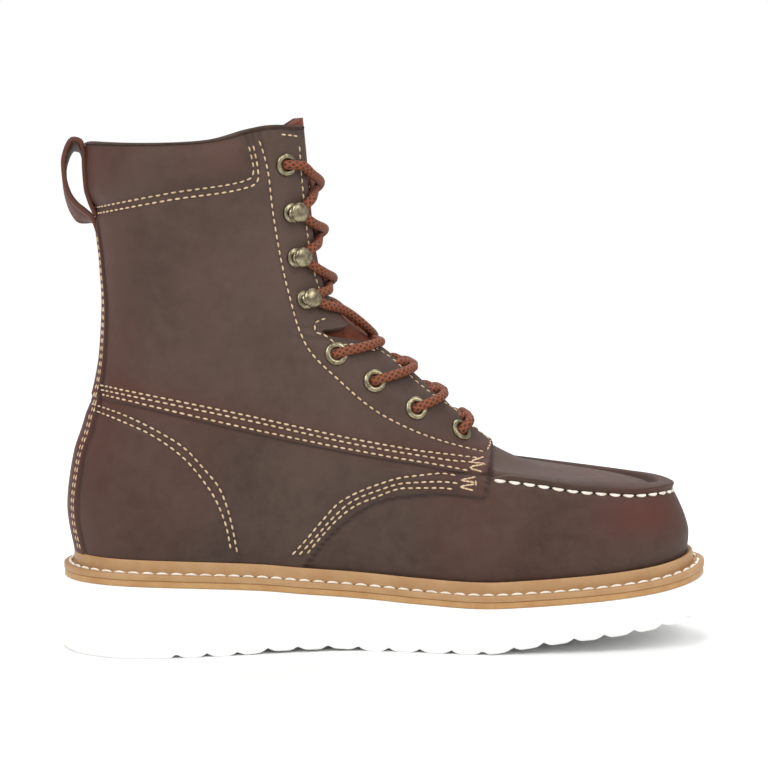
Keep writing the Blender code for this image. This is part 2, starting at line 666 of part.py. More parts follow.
def stack(name, frame, sections, look, sides=10, hole=False):
    """A turned or leaning shape from round sections along a normal.

    Each section has its height, radius and shift to the throat. With a hole, the sections
    close into a ring.
    """
    point, normal, front = frame
    other = np.cross(normal, front)
    verts = []
    for height, radius, shift in sections:
        middle = point + normal * height + front * shift
        for k in range(sides):
            turn = 2 * math.pi * k / sides
            verts.append(middle + radius * (front * math.cos(turn) + other * math.sin(turn)))
    faces = []
    count = len(sections)
    for i in range(count if hole else count - 1):
        for k in range(sides):
            k_next = (k + 1) % sides
            i_next = (i + 1) % count
            faces.append((i * sides + k, i * sides + k_next, i_next * sides + k_next,
                          i_next * sides + k))
    if not hole:
        faces.append(tuple(reversed(range(sides))))
        faces.append(tuple((count - 1) * sides + k for k in range(sides)))
    return new_object(name, verts, faces, *look)


def build_eyelet(name, fitting, side, radii):
    outer, inner = radii
    base = SEAT + OVERLAY + FITTING_LIFT
    sections = ((base, outer, 0), (base + 0.6 * EYELET_HEIGHT, outer * 0.93, 0),
                (base + EYELET_HEIGHT, 1.25 * inner, 0), (base, inner, 0))
    return stack(name, seat_frame(fitting.level, fitting.behind, side), sections, BRASS,
                 sides=12, hole=True)


def build_hook(name, fitting, side):
    base = SEAT + OVERLAY + FITTING_LIFT
    sections = ((base, 4.3, -2.8), (base + 0.9, 4.1, -2.8), (base + 1.1, 2.0, -0.8),
                (base + 2.8, 2.0, 0.6), (base + 3.0, 4.1, 1.2), (base + 4.4, 3.6, 1.4),
                (base + 5.2, 2.0, 1.4))
    return stack(name, seat_frame(fitting.level, fitting.behind, side), sections, BRASS,
                 sides=8)


def lace_tube(name, points):
    """A round lace along points in millimetres, as a mesh with closed ends."""
    curve = bpy.data.curves.new(name, "CURVE")
    curve.dimensions = "3D"
    curve.bevel_depth = LACE / 2 * MM
    curve.bevel_resolution = 1
    curve.use_fill_caps = True
    spline = curve.splines.new("POLY")
    spline.points.add(len(points) - 1)
    for slot, point in zip(spline.points, points):
        slot.co = (*(np.asarray(point) * MM), 1)
    guide = bpy.data.objects.new(name, curve)
    bpy.context.scene.collection.objects.link(guide)
    mesh = bpy.data.meshes.new_from_object(
        guide.evaluated_get(bpy.context.evaluated_depsgraph_get()))
    bpy.data.objects.remove(guide, do_unlink=True)
    verts = [np.array(v.co) / MM for v in mesh.vertices]
    faces = [tuple(f.vertices) for f in mesh.polygons]
    return new_object(name, verts, faces, *LACE_COLOUR)


def lace_strand(name, low, high, side):
    """One strand of lace over the tongue, from one facing up to the next fitting opposite."""
    ends = []
    for fitting, end_side in ((low, side), (high, -side)):
        point, normal, _ = seat_frame(fitting.level, LACE_REST, end_side)
        lift = SEAT + OVERLAY + GAP + LACE / 2 + LACE_LIFT
        ends.append((point + normal * lift, normal))
    (start, start_normal), (end, end_normal) = ends
    crown = half_ring((low.level + high.level) / 2, -1)[-1]
    forward = start_normal + end_normal
    forward[1] = 0
    forward /= np.linalg.norm(forward)
    rise = max(0.0, float(np.dot(crown - (start + end) / 2, forward)) + LACE / 2 - 1.4)
    points = [start + (end - start) * q + forward * rise * math.sin(math.pi * q)
              for q in np.linspace(0, 1, 5)]
    return lace_tube(name, points)


def build_lace():
    """All crossings as one solid: each strand starts where the last one on its side ends."""
    rests = EYELETS[:4] + HOOKS + EYELETS[4:]
    strands = [lace_strand(f"strand_{number}_{side}", low, high, side)
               for number, (low, high) in enumerate(zip(rests[:-1], rests[1:]))
               for side in (-1, 1)]
    first = strands[0]
    for strand in strands[1:]:
        join = first.modifiers.new(strand.name, "BOOLEAN")
        join.operation = "UNION"
        join.object = strand
    mesh = bpy.data.meshes.new_from_object(
        first.evaluated_get(bpy.context.evaluated_depsgraph_get()))
    lace = bpy.data.objects.new("lace", mesh)
    bpy.context.scene.collection.objects.link(lace)
    for strand in strands:
        bpy.data.objects.remove(strand, do_unlink=True)
    return lace


def set_down():
    """Every piece moved so that the boot's box stands over the origin."""
    pieces = list(bpy.context.scene.collection.objects)
    corners = np.array([piece.matrix_world @ Vector(corner)
                        for piece in pieces for corner in piece.bound_box])
    low, high = corners.min(axis=0), corners.max(axis=0)
    boot = bpy.data.objects.new("boot", None)
    bpy.context.scene.collection.objects.link(boot)
    for piece in pieces:
        piece.parent = boot
    boot.location = (-(low[0] + high[0]) / 2, -(low[1] + high[1]) / 2, -low[2])


clear_scene()
build_outsole()
build_midsole()
build_welt()
build_insole()
build_upper()
build_tongue()
build_backstay()
build_loop()
for side, side_name in ((-1, "medial"), (1, "lateral")):
    build_band(f"quarter_{side_name}",
               [(band.x, band.foot, band.seam - SEAM_GAP) for band in BANDS], side, 9)
    build_band(f"strap_{side_name}",
               [(band.x, band.seam + SEAM_GAP, band.top) for band in BANDS], side, 6)
    build_eyestay(side, f"eyestay_{side_name}")
    for number, fitting in enumerate(EYELETS, 1):
        radii = TOP_EYELET_RADII if number == len(EYELETS) else EYELET_RADII
        build_eyelet(f"eyelet_{number}_{side_name}", fitting, side, radii)
    for number, fitting in enumerate(HOOKS, 1):
        build_hook(f"hook_{number}_{side_name}", fitting, side)
build_lace()
set_down()
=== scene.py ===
"""Looks of the wedge sole work boot: leather, seams, stitches, sole, hardware and lace."""
import json
import math
import random
from collections import namedtuple

import bmesh
import bpy
import numpy as np
from mathutils import Matrix, Vector
from mathutils.bvhtree import BVHTree

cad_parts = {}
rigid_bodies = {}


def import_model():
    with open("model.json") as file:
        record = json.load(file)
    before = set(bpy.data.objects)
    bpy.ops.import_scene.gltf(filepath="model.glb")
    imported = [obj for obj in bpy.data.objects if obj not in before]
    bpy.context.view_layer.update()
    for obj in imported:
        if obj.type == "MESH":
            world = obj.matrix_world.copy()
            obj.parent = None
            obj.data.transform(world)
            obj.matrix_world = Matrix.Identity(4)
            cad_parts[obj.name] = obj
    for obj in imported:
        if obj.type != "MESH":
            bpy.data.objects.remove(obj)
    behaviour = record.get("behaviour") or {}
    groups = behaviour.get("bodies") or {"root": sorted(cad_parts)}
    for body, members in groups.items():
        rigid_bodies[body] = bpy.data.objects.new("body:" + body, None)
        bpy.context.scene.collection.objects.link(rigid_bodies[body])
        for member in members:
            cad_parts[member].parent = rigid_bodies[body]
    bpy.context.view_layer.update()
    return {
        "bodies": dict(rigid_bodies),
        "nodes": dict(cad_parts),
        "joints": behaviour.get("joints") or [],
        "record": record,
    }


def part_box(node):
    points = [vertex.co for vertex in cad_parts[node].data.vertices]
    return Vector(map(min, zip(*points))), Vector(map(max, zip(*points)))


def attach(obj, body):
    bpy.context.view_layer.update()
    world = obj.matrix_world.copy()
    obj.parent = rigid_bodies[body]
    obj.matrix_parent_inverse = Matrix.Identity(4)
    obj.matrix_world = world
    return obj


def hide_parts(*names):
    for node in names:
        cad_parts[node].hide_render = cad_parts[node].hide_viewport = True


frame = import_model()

MM = 0.001

# The boot's own millimetres start at the back of the sole. The frame's origin is under the
# middle of its box, and the midsole's back end and inner side fix where that is.
MIDSOLE_BACK, MIDSOLE_INNER = 0.03, -49.55
midsole_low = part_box("midsole")[0]
ORIGIN = np.array([midsole_low[0] / MM - MIDSOLE_BACK, midsole_low[1] / MM - MIDSOLE_INNER, 0.0])

# Camera, in the boot's millimetres
AIM_X, DISTANCE, EYE_HEIGHT = 151.3, 1100.0, 230.0
TURN, PITCH = math.radians(-6.0), math.radians(5.65)
FOCAL_PIXELS, IMAGE, SENSOR_MM = 2340.0, 768.0, 36.0

WALL = 2.6  # leather and lining of the upper
WELT_SEAT, EDGE_HEIGHT, BEAD_TOP, BEAD = 3.2, 6.0, 12.0, 3.0  # heights on the sole, bead's width
LOBE_PITCH, LOBE_DEPTH, FIRST_LOBE, LAST_LOBE = 14.0, 1.8, 52.0, 290.0  # the tread's lobes
TONGUE_OFFSET, TONGUE_THICKNESS = 3.5, 2.8
QUARTER_STEP, SHAFT_STEP, COUNTER_STEP, BACKSTAY_STEP = 1.3, 0.8, 0.35, 1.1  # overlaps' heights
COLLAR_PAD, COLLAR_STEP, LIP_HEIGHT, LIP_GROOVE = 3.3, 0.35, 3.0, 0.9  # collar and moc toe
SEAM_DEPTH, FOLD_DEPTH = 0.3, 0.55
VAMP_FROM, MOC_SEAM, PLUG_SEAM = 196.0, 2.96, 3.57  # where it starts, and its seams' levels
BACKSTAY_INSETS = (3.0, 5.6)  # its two rows of stitches, from its edge

# Along the boot: the stations of the half widths, the middle line, the sole's top and foot,
# and how far the welt stands out
STATIONS = (46.0, 125.0, 207.0, 262.0)
CENTRE = ((0, 0.0), (50, 0.5), (110, 3.0), (160, 4.6), (205, 3.6), (250, -1.2), (310, -9.0))
SOLE_TOP = ((-5, 33.8), (30, 33.2), (62, 31.6), (90, 29.6), (112, 27.0), (137, 24.6),
            (164, 22.4), (192, 21.2), (217, 22.2), (245, 24.2), (273, 27.0), (297, 30.8),
            (312, 34.2))
SOLE_FOOT = ((-5, 0.0), (78, 0.0), (100, 1.3), (124, 1.3), (146, 0.0), (192, 0.0), (204, 1.6),
             (217, 3.6), (232, 5.6), (248, 7.4), (262, 9.2), (276, 11.2), (290, 13.6),
             (310, 17.2))
WELT_REACH = ((0, 9.0), (30, 7.6), (60, 6.8), (125, 6.4), (205, 7.2), (262, 8.2), (310, 9.6))

# Rings of the last, from the feather line (0) to above the collar (14): their two ends, how
# much they follow the sole and sag, half widths at the stations on the inner and the outer
# side, and how long and how round their ends are. The throat opens from THROAT_LEVEL up.
Level = namedtuple("Level", "at x_back z_back x_front z_front follow sag "
                            "heel waist_in waist_out ball_in ball_out toe "
                            "cap_back cap_front round_front")
LEVELS = [Level(*row) for row in (
    (0, 9.0, 36.8, 294.6, 33.6, 1, 0, 31.5, 28.0, 33.0, 44.0, 48.5, 40.5, 36, 56, 2.15),
    (1, 8.0, 45.6, 295.4, 42.2, 1, 0, 32.5, 29.0, 34.0, 45.5, 50.0, 42.0, 36, 57, 2.15),
    (2, 5.0, 66.0, 295.8, 51.0, 0.8, 0, 34.0, 31.0, 35.5, 47.0, 51.5, 42.5, 36, 57, 2.15),
    (3, 8.2, 90.0, 289.0, 68.0, 0, 2.5, 33.5, 32.0, 35.0, 41.5, 45.0, 37.5, 36, 52, 2.15),
    (4, 11.8, 101.0, 272.0, 74.6, 0, -1, 33.5, 32.5, 35.0, 36.5, 39.5, 31.0, 38, 44, 2.2),
    (5, 14.9, 111.0, 231.0, 80.4, 0, -1, 34.0, 33.0, 35.0, 33.0, 35.5, 28.0, 40, 46, 2.1),
    (6, 17.8, 120.0, 201.5, 92.6, 0, 0, 34.5, 33.5, 35.0, 30.0, 32.0, 26.0, 42, 50, 2.3),
    (7, 20.9, 137.0, 178.6, 114.4, 0, 0, 35.5, 33.0, 34.0, 28.0, 29.0, 24.0, 44, 48, 2.6),
    (8, 21.8, 152.0, 156.0, 134.0, 0, 0, 37.0, 31.5, 32.0, 28.0, 29.0, 24.0, 46, 42, 2.6),
    (9, 22.2, 165.0, 137.0, 148.5, 0, 0, 38.5, 29.0, 29.5, 27.0, 28.0, 24.0, 46, 34, 2.5),
    (10, 21.6, 178.0, 125.0, 168.0, 0, 0, 40.5, 27.0, 27.5, 27.0, 28.0, 24.0, 46, 26, 2.4),
    (11, 20.4, 190.0, 120.0, 195.0, 0, 0, 42.0, 26.0, 26.5, 26.0, 26.5, 24.0, 46, 22, 2.4),
    (12, 18.8, 203.0, 118.0, 219.0, 0, 0, 42.5, 26.0, 26.5, 26.0, 26.5, 24.0, 46, 22, 2.4),
    (13, 15.2, 234.2, 116.0, 241.0, 0, -3.4, 42.5, 27.0, 27.5, 27.0, 27.5, 24.0, 46, 22, 2.4),
    (14, 14.6, 241.0, 115.4, 248.0, 0, -1, 42.5, 27.0, 27.5, 27.0, 27.5, 24.0, 46, 22, 2.4),
)]
ROUND_BACK = 2.1
THROAT_LEVEL = 6
# By level: half the throat's opening, with the notch below the first hook, half the tongue's
# width and half the backstay's
THROAT = ((6, 0.0), (6.25, 9.0), (7, 14.0), (8.36, 16.5), (8.48, 26.0), (8.58, 29.0),
          (8.76, 29.0), (8.87, 25.5), (9.0, 19.0), (9.25, 18.0), (10, 19.0), (11, 20.0), (14, 21.5))
TONGUE = ((5.4, 12.0), (6, 18.0), (7, 26.0), (8, 31.0), (9, 36.0), (11, 38.0), (13, 42.0),
          (14, 40.0))
BACKSTAY = ((1.0, 17.5), (4, 16.5), (6, 13.5), (8, 11.5), (12, 10.0))
Fitting = namedtuple("Fitting", "level behind")  # how far behind the throat's edge it sits
EYELETS = (Fitting(6.30, 14.3), Fitting(6.74, 25.2), Fitting(7.32, 30.7), Fitting(7.98, 33.4),
           Fitting(12.32, 12.3))
HOOKS = (Fitting(9.65, 12.6), Fitting(10.52, 10.0), Fitting(11.36, 9.0))
LOOP_PATH = ((18.2, 193.5), (15.8, 200.2), (12.2, 203.8), (8.2, 207.2), (5.0, 212.0),
             (3.2, 218.5), (2.7, 225.5), (4.2, 232.2), (7.4, 236.4), (10.4, 235.6),
             (12.0, 231.0), (12.3, 222.0), (12.9, 214.0), (14.8, 207.0), (17.4, 201.0))
LOOP_LEAN, LOOP_TWIST = -5.0, -3.4  # how far the loop's far edge hangs, and more at its foot
LACE, LACE_SIDES, LACE_STEP = 4.4, 14, 0.8
NOTCH_FOOT = 8.34  # level where the facing's edge starts to swing back below the first hook
STITCH_PITCH, TACK_PITCH, HAND_PITCH, WELT_PITCH = 3.6, 2.0, 6.8, 6.6
WELT_LINE = 0.66  # where the white stitches lie across the welt's ledge

# Seams and edges as they lie in the photograph, in its pixels, on the near side
QUARTER_EDGE_PX = ((305, 566), (322, 544), (346, 521), (381, 501), (406, 496), (439, 494),
                   (472, 497), (482, 499), (487, 486), (490, 468), (491, 448), (487, 434),
                   (478, 427))
STRAP_EDGE_PX = ((100, 398), (180, 416), (240, 430), (356, 454), (430, 468), (478, 478))
TOP_LINE_PX = ((258, 135), (276, 134.5), (298, 137))
COLLAR_LINES_PX = (((94, 208), (170, 193), (248.5, 178.4), (252, 171), (248, 150), (243, 137)),
                   ((95.5, 214), (170, 200), (250, 186), (257, 177), (253, 150), (248, 136)))
EYESTAY_LINE_PX = ((256, 137), (262, 154), (267, 176), (270, 203), (274, 230), (281, 268),
                   (289, 301), (298, 331), (308, 350), (339, 381), (373, 409.5), (406, 428),
                   (439, 442), (472, 452), (484, 455))
FACING_LINE_PX = ((345, 337), (363, 345), (389, 360), (416, 385), (436, 401), (457, 414),
                  (479, 424), (487, 433), (488, 446), (484, 455))
NOTCH_LINE_PX = ((324, 320), (317, 321.5), (313, 325.5), (313, 330), (316.5, 334.5),
                 (326, 336.5), (345, 337.5))
STRAP_LINES_PX = (((105, 386), (240, 413.6), (356, 439), (484, 462)),
                  ((105, 390.5), (240, 418.2), (356, 443.8), (482, 466.5)),
                  ((105, 395), (240, 426), (356, 450), (472, 473)))
COUNTER_LINES_PX = (((96, 405), (122, 414), (152, 428), (183, 447), (203, 468), (220, 490),
                     (230, 519), (237, 553)),
                    ((97, 411), (122, 421), (152, 435), (183, 457.5), (201, 478),
                     (215.5, 500), (226, 527), (231, 553)))
QUARTER_LINES_PX = (((291, 555), (306, 539), (323, 519), (339.5, 502), (373, 486), (406, 477),
                     (439, 475), (462, 478)),
                    ((298, 555), (315, 537), (333, 517), (352, 501), (373, 492), (406, 483),
                     (439, 482), (462, 484)),
                    ((306, 554), (322, 535), (339.5, 517), (356, 505), (373, 498), (406, 488),
                     (439, 488), (459, 490)))
TACKS_PX = (((482, 460), (471, 464), (483, 467), (470, 470), (482, 474)),
            ((475, 479), (462, 481), (476, 484), (461, 487), (474, 491)))


def smooth(table, at, level_ends=False):
    """A smooth curve through a table's points that never overshoots them."""
    xs = np.array([row[0] for row in table], float)
    ys = np.array([row[1] for row in table], float)
    step = np.diff(xs)
    slope = np.diff(ys) / step
    ends = np.zeros(len(xs))
    for i in range(1, len(xs) - 1):
        if slope[i - 1] * slope[i] > 0:
            ends[i] = 2 * slope[i - 1] * slope[i] / (slope[i - 1] + slope[i])
    if not level_ends:
        ends[0], ends[-1] = slope[0], slope[-1]
    at = np.clip(np.asarray(at, float), xs[0], xs[-1])
    i = np.clip(np.searchsorted(xs, at, side="right") - 1, 0, len(step) - 1)
    u = (at - xs[i]) / step[i]
    return (ys[i] * (1 + 2 * u) * (1 - u) ** 2 + ys[i + 1] * u * u * (3 - 2 * u)
            + step[i] * (ends[i] * u * (1 - u) ** 2 - ends[i + 1] * u * u * (1 - u)))


def ease(start, end, at):
    """0 before start and 1 after end, with a soft rise between."""
    u = np.clip((np.asarray(at, float) - start) / (end - start), 0, 1)
    return u * u * (3 - 2 * u)


def level_at(place):
    """The ring's measures at any level between the rows."""
    values = {"at": place}
    for name in Level._fields[1:]:
        values[name] = float(smooth([(row.at, getattr(row, name)) for row in LEVELS], place))
    return Level(**values)


def half_ring(place, side, opening=0.0, samples=241):
    """One side of a ring, from the back seam to the front; -1 is the foot's inner side."""
    row = level_at(place)
    along = (1 - np.cos(np.linspace(0, math.pi, samples))) / 2
    x = row.x_back + (row.x_front - row.x_back) * along
    widths = ((row.heel, row.waist_in, row.ball_in, row.toe) if side < 0
              else (row.heel, row.waist_out, row.ball_out, row.toe))
    width = smooth(list(zip(STATIONS, widths)), x, level_ends=True)
    for depth, cap, power in ((x - row.x_back, row.cap_back, ROUND_BACK),
                              (row.x_front - x, row.cap_front, row.round_front)):
        rest = np.clip(1 - depth / cap, 0, 1)
        width = width * np.clip(1 - rest ** power, 0, 1) ** (1 / power)
    y = smooth(CENTRE, x) + side * width
    top = smooth(SOLE_TOP, x)
    chord = top[0] + (top[-1] - top[0]) * along
    z = (row.z_back + (row.z_front - row.z_back) * along + row.follow * (top - chord)
         + row.sag * 4 * along * (1 - along))
    points = np.stack([x, y, z], axis=1)
    if opening > 0:
        far = np.nonzero((width >= opening) | (along < 0.5))[0][-1]
        share = (width[far] - opening) / (width[far] - width[far + 1])
        cut = points[far] + (points[far + 1] - points[far]) * share
        points = np.vstack([points[:far + 1], cut])
    return points


def lengths(points):
    """The distance run at each of a line's points."""
    gaps = np.linalg.norm(np.diff(points, axis=0), axis=1)
    return np.concatenate([[0], np.cumsum(gaps)])


def at_lengths(points, wanted):
    """Points at wanted distances along a line."""
    run = lengths(points)
    return np.stack([np.interp(wanted, run, points[:, axis]) for axis in range(3)], axis=1)


def smooth_run(points, wanted):
    """Points at wanted distances along a soft curve through the given ones."""
    run = lengths(points)
    return np.stack([smooth(list(zip(run, column)), wanted) for column in points.T], axis=1)


def steps(line, pitch, reach):
    """Equal steps along a line: the distance, a point behind, the point and one ahead."""
    for k in range(int(lengths(line)[-1] / pitch)):
        at = (k + 0.5) * pitch
        yield (at, *at_lengths(line, [at - reach, at, at + reach]))


def opening_at(place):
    """Half the throat's opening at a level."""
    return float(smooth(THROAT, place)) if place > THROAT_LEVEL else 0.0


def ring_runs(place, columns):
    """Distances from the back seam for the points of each side of a ring."""
    q = np.linspace(0, 1, columns + 1)
    shares = q - 0.25 * np.sin(2 * math.pi * q) / (2 * math.pi)
    return [shares * lengths(half_ring(place, side, opening_at(place)))[-1] for side in (1, -1)]


def ring_at(place, runs):
    """A ring from the front round the outer side, the back and the inner side."""
    sides = [at_lengths(half_ring(place, side), run) for side, run in zip((1, -1), runs)]
    return np.vstack([sides[0][::-1], sides[1][1:]])


def ring(place, columns):
    """A ring of evenly spread points, open at the throat."""
    return ring_at(place, ring_runs(place, columns))


def grid_normals(grid, closed, up=None):
    """Normals of a grid; a closed row meets itself, and up is the way along the columns."""
    across = np.zeros_like(grid)
    across[:, 1:-1] = grid[:, 2:] - grid[:, :-2]
    across[:, 0] = grid[:, 1] - grid[:, 0]
    across[:, -1] = grid[:, -1] - grid[:, -2]
    for i, meets in enumerate(closed):
        if meets:
            across[i, 0] = grid[i, 1] - grid[i, -2]
            across[i, -1] = across[i, 0]
    normals = np.cross(across, np.gradient(grid, axis=0) if up is None else up)
    return normals / np.maximum(np.linalg.norm(normals, axis=2, keepdims=True), 1e-9)


def surface(rows, columns):
    """The last's surface and its normals; each point is compared along its own height."""
    grid, up = [], []
    for place in rows:
        runs = ring_runs(place, columns)
        grid.append(ring_at(place, runs))
        low, high = max(place - 0.06, 0), min(place + 0.06, LEVELS[-1].at)
        up.append(ring_at(high, runs) - ring_at(low, runs))
    closed = [place <= THROAT_LEVEL for place in rows]
    grid = np.stack(grid)
    return grid, grid_normals(grid, closed, np.stack(up))


def on_edge(place, behind, side):
    """A point of the upper a given distance behind the throat's edge."""
    half = half_ring(place, side, opening_at(place))
    return at_lengths(half, [lengths(half)[-1] - behind])[0]


def seat_frame(place, behind, side):
    """A fitting's seat on the facing: its point, the way out and the way to the throat."""
    point = on_edge(place, behind, side)
    front = on_edge(place, behind - 1.5, side) - on_edge(place, behind + 1.5, side)
    up = on_edge(place + 0.08, behind, side) - on_edge(place - 0.08, behind, side)
    normal = np.cross(front, up)
    normal /= np.linalg.norm(normal)
    if normal[1] * side < 0:
        normal = -normal
    return point, normal, front / np.linalg.norm(front)


# Camera, and lines of the photograph laid on the leather

ahead = np.array([-math.sin(TURN), math.cos(TURN), 0.0])
EYE = np.array([AIM_X, 0, EYE_HEIGHT]) - DISTANCE * ahead
RIGHT = np.array([math.cos(TURN), math.sin(TURN), 0.0])
LOOK = ahead * math.cos(PITCH) + np.array([0, 0, -math.sin(PITCH)])
UP = np.cross(RIGHT, LOOK)

base_rows = np.concatenate([np.linspace(0.8, 6, 60), np.linspace(6.05, 13, 70)])
base_grid, _ = surface(base_rows, 90)


def grid_faces(rows, columns):
    """Four-cornered faces between the points of a grid."""
    return [(i * columns + j, i * columns + j + 1, (i + 1) * columns + j + 1,
             (i + 1) * columns + j) for i in range(rows - 1) for j in range(columns - 1)]


def skin_tree(grid):
    """A grid made ready for finding its nearest points and where lines meet it."""
    return BVHTree.FromPolygons([tuple(p) for p in grid.reshape(-1, 3)],
                                grid_faces(*grid.shape[:2]))


BASE = skin_tree(base_grid)


def from_photo(pixel):
    """The place in the side view of the leather that a pixel of the photograph shows."""
    way = LOOK * FOCAL_PIXELS + RIGHT * (pixel[0] - IMAGE / 2) - UP * (pixel[1] - IMAGE / 2)
    hit = BASE.ray_cast(Vector(EYE), Vector(way).normalized())[0]
    return None if hit is None else (hit.x, hit.z)


def across_foot(x, z, side):
    """The point of the leather at a place of the side view, on one side of the foot."""
    hit, normal, _, _ = BASE.ray_cast(Vector((x, side * 200.0, z)), Vector((0, -side, 0)))
    if hit is None or hit.y * side < 0:
        hit, normal, _, _ = BASE.find_nearest(Vector((x, side * 30.0, z)))
    normal = np.array(normal)
    return np.array(hit), normal if normal[1] * side > 0 else -normal


def photo_line(pixels):
    """A line of the photograph as close points on the near side, in the side view."""
    pixels = np.array(pixels, float)
    total = lengths(pixels)[-1]
    close = smooth_run(pixels, np.linspace(0, total, max(3, int(total / 3))))
    places = [from_photo(pixel) for pixel in close]
    return np.array([place for place in places if place is not None])


def signed_distance(points, polygon):
    """Distance in millimetres from a closed outline in the side view, positive inside."""
    best = np.full(points.shape[0], 1e9)
    inside = np.zeros(points.shape[0], bool)
    x, z = points[:, 0], points[:, 1]
    for a, b in zip(polygon, np.roll(polygon, -1, axis=0)):
        best = np.minimum(best, line_distance(points, a, b))
        crosses = (a[1] > z) != (b[1] > z)
        if a[1] != b[1]:
            inside ^= crosses & (x < (b[0] - a[0]) * (z - a[1]) / (b[1] - a[1]) + a[0])
    return np.where(inside, best, -best)


def line_distance(points, a, b):
    """Distances of points from one straight stretch."""
    a, b = np.asarray(a, float), np.asarray(b, float)
    span = b - a
    share = np.clip(((points - a) @ span) / max(span @ span, 1e-9), 0, 1)
    return np.linalg.norm(points - (a + share[:, None] * span), axis=1)


def distance_to(points, line):
    """Distances of points from a bent line."""
    best = np.full(points.shape[0], 1e9)
    for a, b in zip(line[:-1], line[1:]):
        best = np.minimum(best, line_distance(points, a, b))
    return best


quarter_edge, strap_edge = photo_line(QUARTER_EDGE_PX), photo_line(STRAP_EDGE_PX)
collar_lines, throat_lines, strap_lines, counter_lines, quarter_lines = (
    [photo_line(line) for line in lines]
    for lines in (COLLAR_LINES_PX, (EYESTAY_LINE_PX, FACING_LINE_PX, NOTCH_LINE_PX, TOP_LINE_PX),
                  STRAP_LINES_PX, COUNTER_LINES_PX, QUARTER_LINES_PX))
GROOVES = collar_lines + throat_lines + strap_lines + counter_lines + quarter_lines

# Outlines in the side view, past the boot where they have no edge on it
QUARTERS = np.vstack([quarter_edge, [(190, 260), (-40, 260), (-40, 10), (quarter_edge[0][0], 10)]])
SHAFT = np.vstack([strap_edge, [(204, 84), (204, 260), (-40, 260), (-40, strap_edge[0][1] + 4)]])
COLLAR = np.vstack([collar_lines[0], [(collar_lines[0][-1][0], 262), (-40, 262),
                                      (-40, collar_lines[0][0][1] - 3)]])
COUNTER = np.vstack([counter_lines[1], [(counter_lines[1][-1][0], 20), (-40, 20),
                                        (-40, counter_lines[1][0][1] + 3)]])

def moc_shift(x):
    """How far the moc seam stands above its plain level, in levels; it climbs to the quarter."""
    return 0.10 + 0.30 * (1 - ease(198, 240, x))


def toe_lift(x, levels):
    """The lip's rise at the toe, in millimetres."""
    return 2.2 * ease(260, 286, x) * np.exp(-((levels - 3.15) / 0.3) ** 2)


def collar_lift(x, levels):
    """The collar's rise beside the throat, in millimetres."""
    return 4.0 * np.exp(-((x - 93) / 17) ** 2) * ease(12.1, 13, levels)


def waves(points, scale, seed):
    """Soft unevenness of the leather, from a few slanting waves."""
    draw = random.Random(seed)
    total = np.zeros(points.shape[0])
    for _ in range(7):
        way = Vector((draw.uniform(-1, 1), draw.uniform(-1, 1), draw.uniform(-1, 1))).normalized()
        total += np.sin(points @ np.array(way) / (scale * draw.uniform(0.6, 1.6))
                        + draw.uniform(0, 6.28))
    return total / 7


Form = namedtuple("Form", "relief quarters backstay strip_edge seam front moc")


def leather_form(points, levels, from_back):
    """How far the leather stands out of the last, and where its pieces and seams are."""
    flat = points[:, (0, 2)]
    quarters = ease(-0.5, 0.5, signed_distance(flat, QUARTERS)) * ease(0.9, 1.0, levels)
    shaft = ease(-0.5, 0.5, signed_distance(flat, SHAFT)) * quarters
    counter = ease(-1.0, 3.0, signed_distance(flat, COUNTER))
    collar = signed_distance(flat, COLLAR)
    relief = QUARTER_STEP * quarters + SHAFT_STEP * shaft + COUNTER_STEP * counter
    pad = ease(-1.0, 9, collar) * (1 - 0.6 * ease(12.55, 13, levels))
    back_pad = 0.12 + 0.5 * (1 - ease(12.3, 13, levels))
    relief += COLLAR_PAD * pad * (back_pad + (1 - back_pad) * ease(3, 26, from_back))
    relief += COLLAR_STEP * ease(-0.6, 0.6, collar)
    relief -= 0.7 * np.exp(-(distance_to(flat, collar_lines[0]) / 2.4) ** 2)
    strip_edge = smooth(BACKSTAY, levels) - from_back
    backstay = ease(-0.5, 0.6, strip_edge) * (1 - ease(11.5, 12.0, levels))
    relief += BACKSTAY_STEP * backstay
    seam = np.exp(-(np.min([distance_to(flat, line) for line in GROOVES], axis=0) / 0.9) ** 2)
    relief -= SEAM_DEPTH * seam
    for inset in BACKSTAY_INSETS:
        relief -= 0.25 * np.exp(-((strip_edge - inset) / 0.8) ** 2) * backstay
    front = ease(VAMP_FROM, VAMP_FROM + 10, points[:, 0]) * (1 - quarters)
    moc = levels - moc_shift(points[:, 0])
    lip = ease(2.98, 3.05, moc) * (1 - ease(3.46, 3.55, moc))
    groove = (np.exp(-((moc - MOC_SEAM) / 0.035) ** 2)
              + 1.3 * np.exp(-((moc - PLUG_SEAM) / 0.05) ** 2))
    relief += front * (LIP_HEIGHT * lip - LIP_GROOVE * groove)
    relief += 0.35 * waves(points, 16.0, 3) * ease(1.0, 2.0, levels)
    folds = waves(points * np.array([1.0, 0.6, 2.2]), 9.0, 5)
    ankle = np.exp(-((levels - 8.0) / 2.2) ** 2)
    relief += FOLD_DEPTH * ankle * folds
    return Form(relief, quarters, backstay, strip_edge, seam, front, moc)


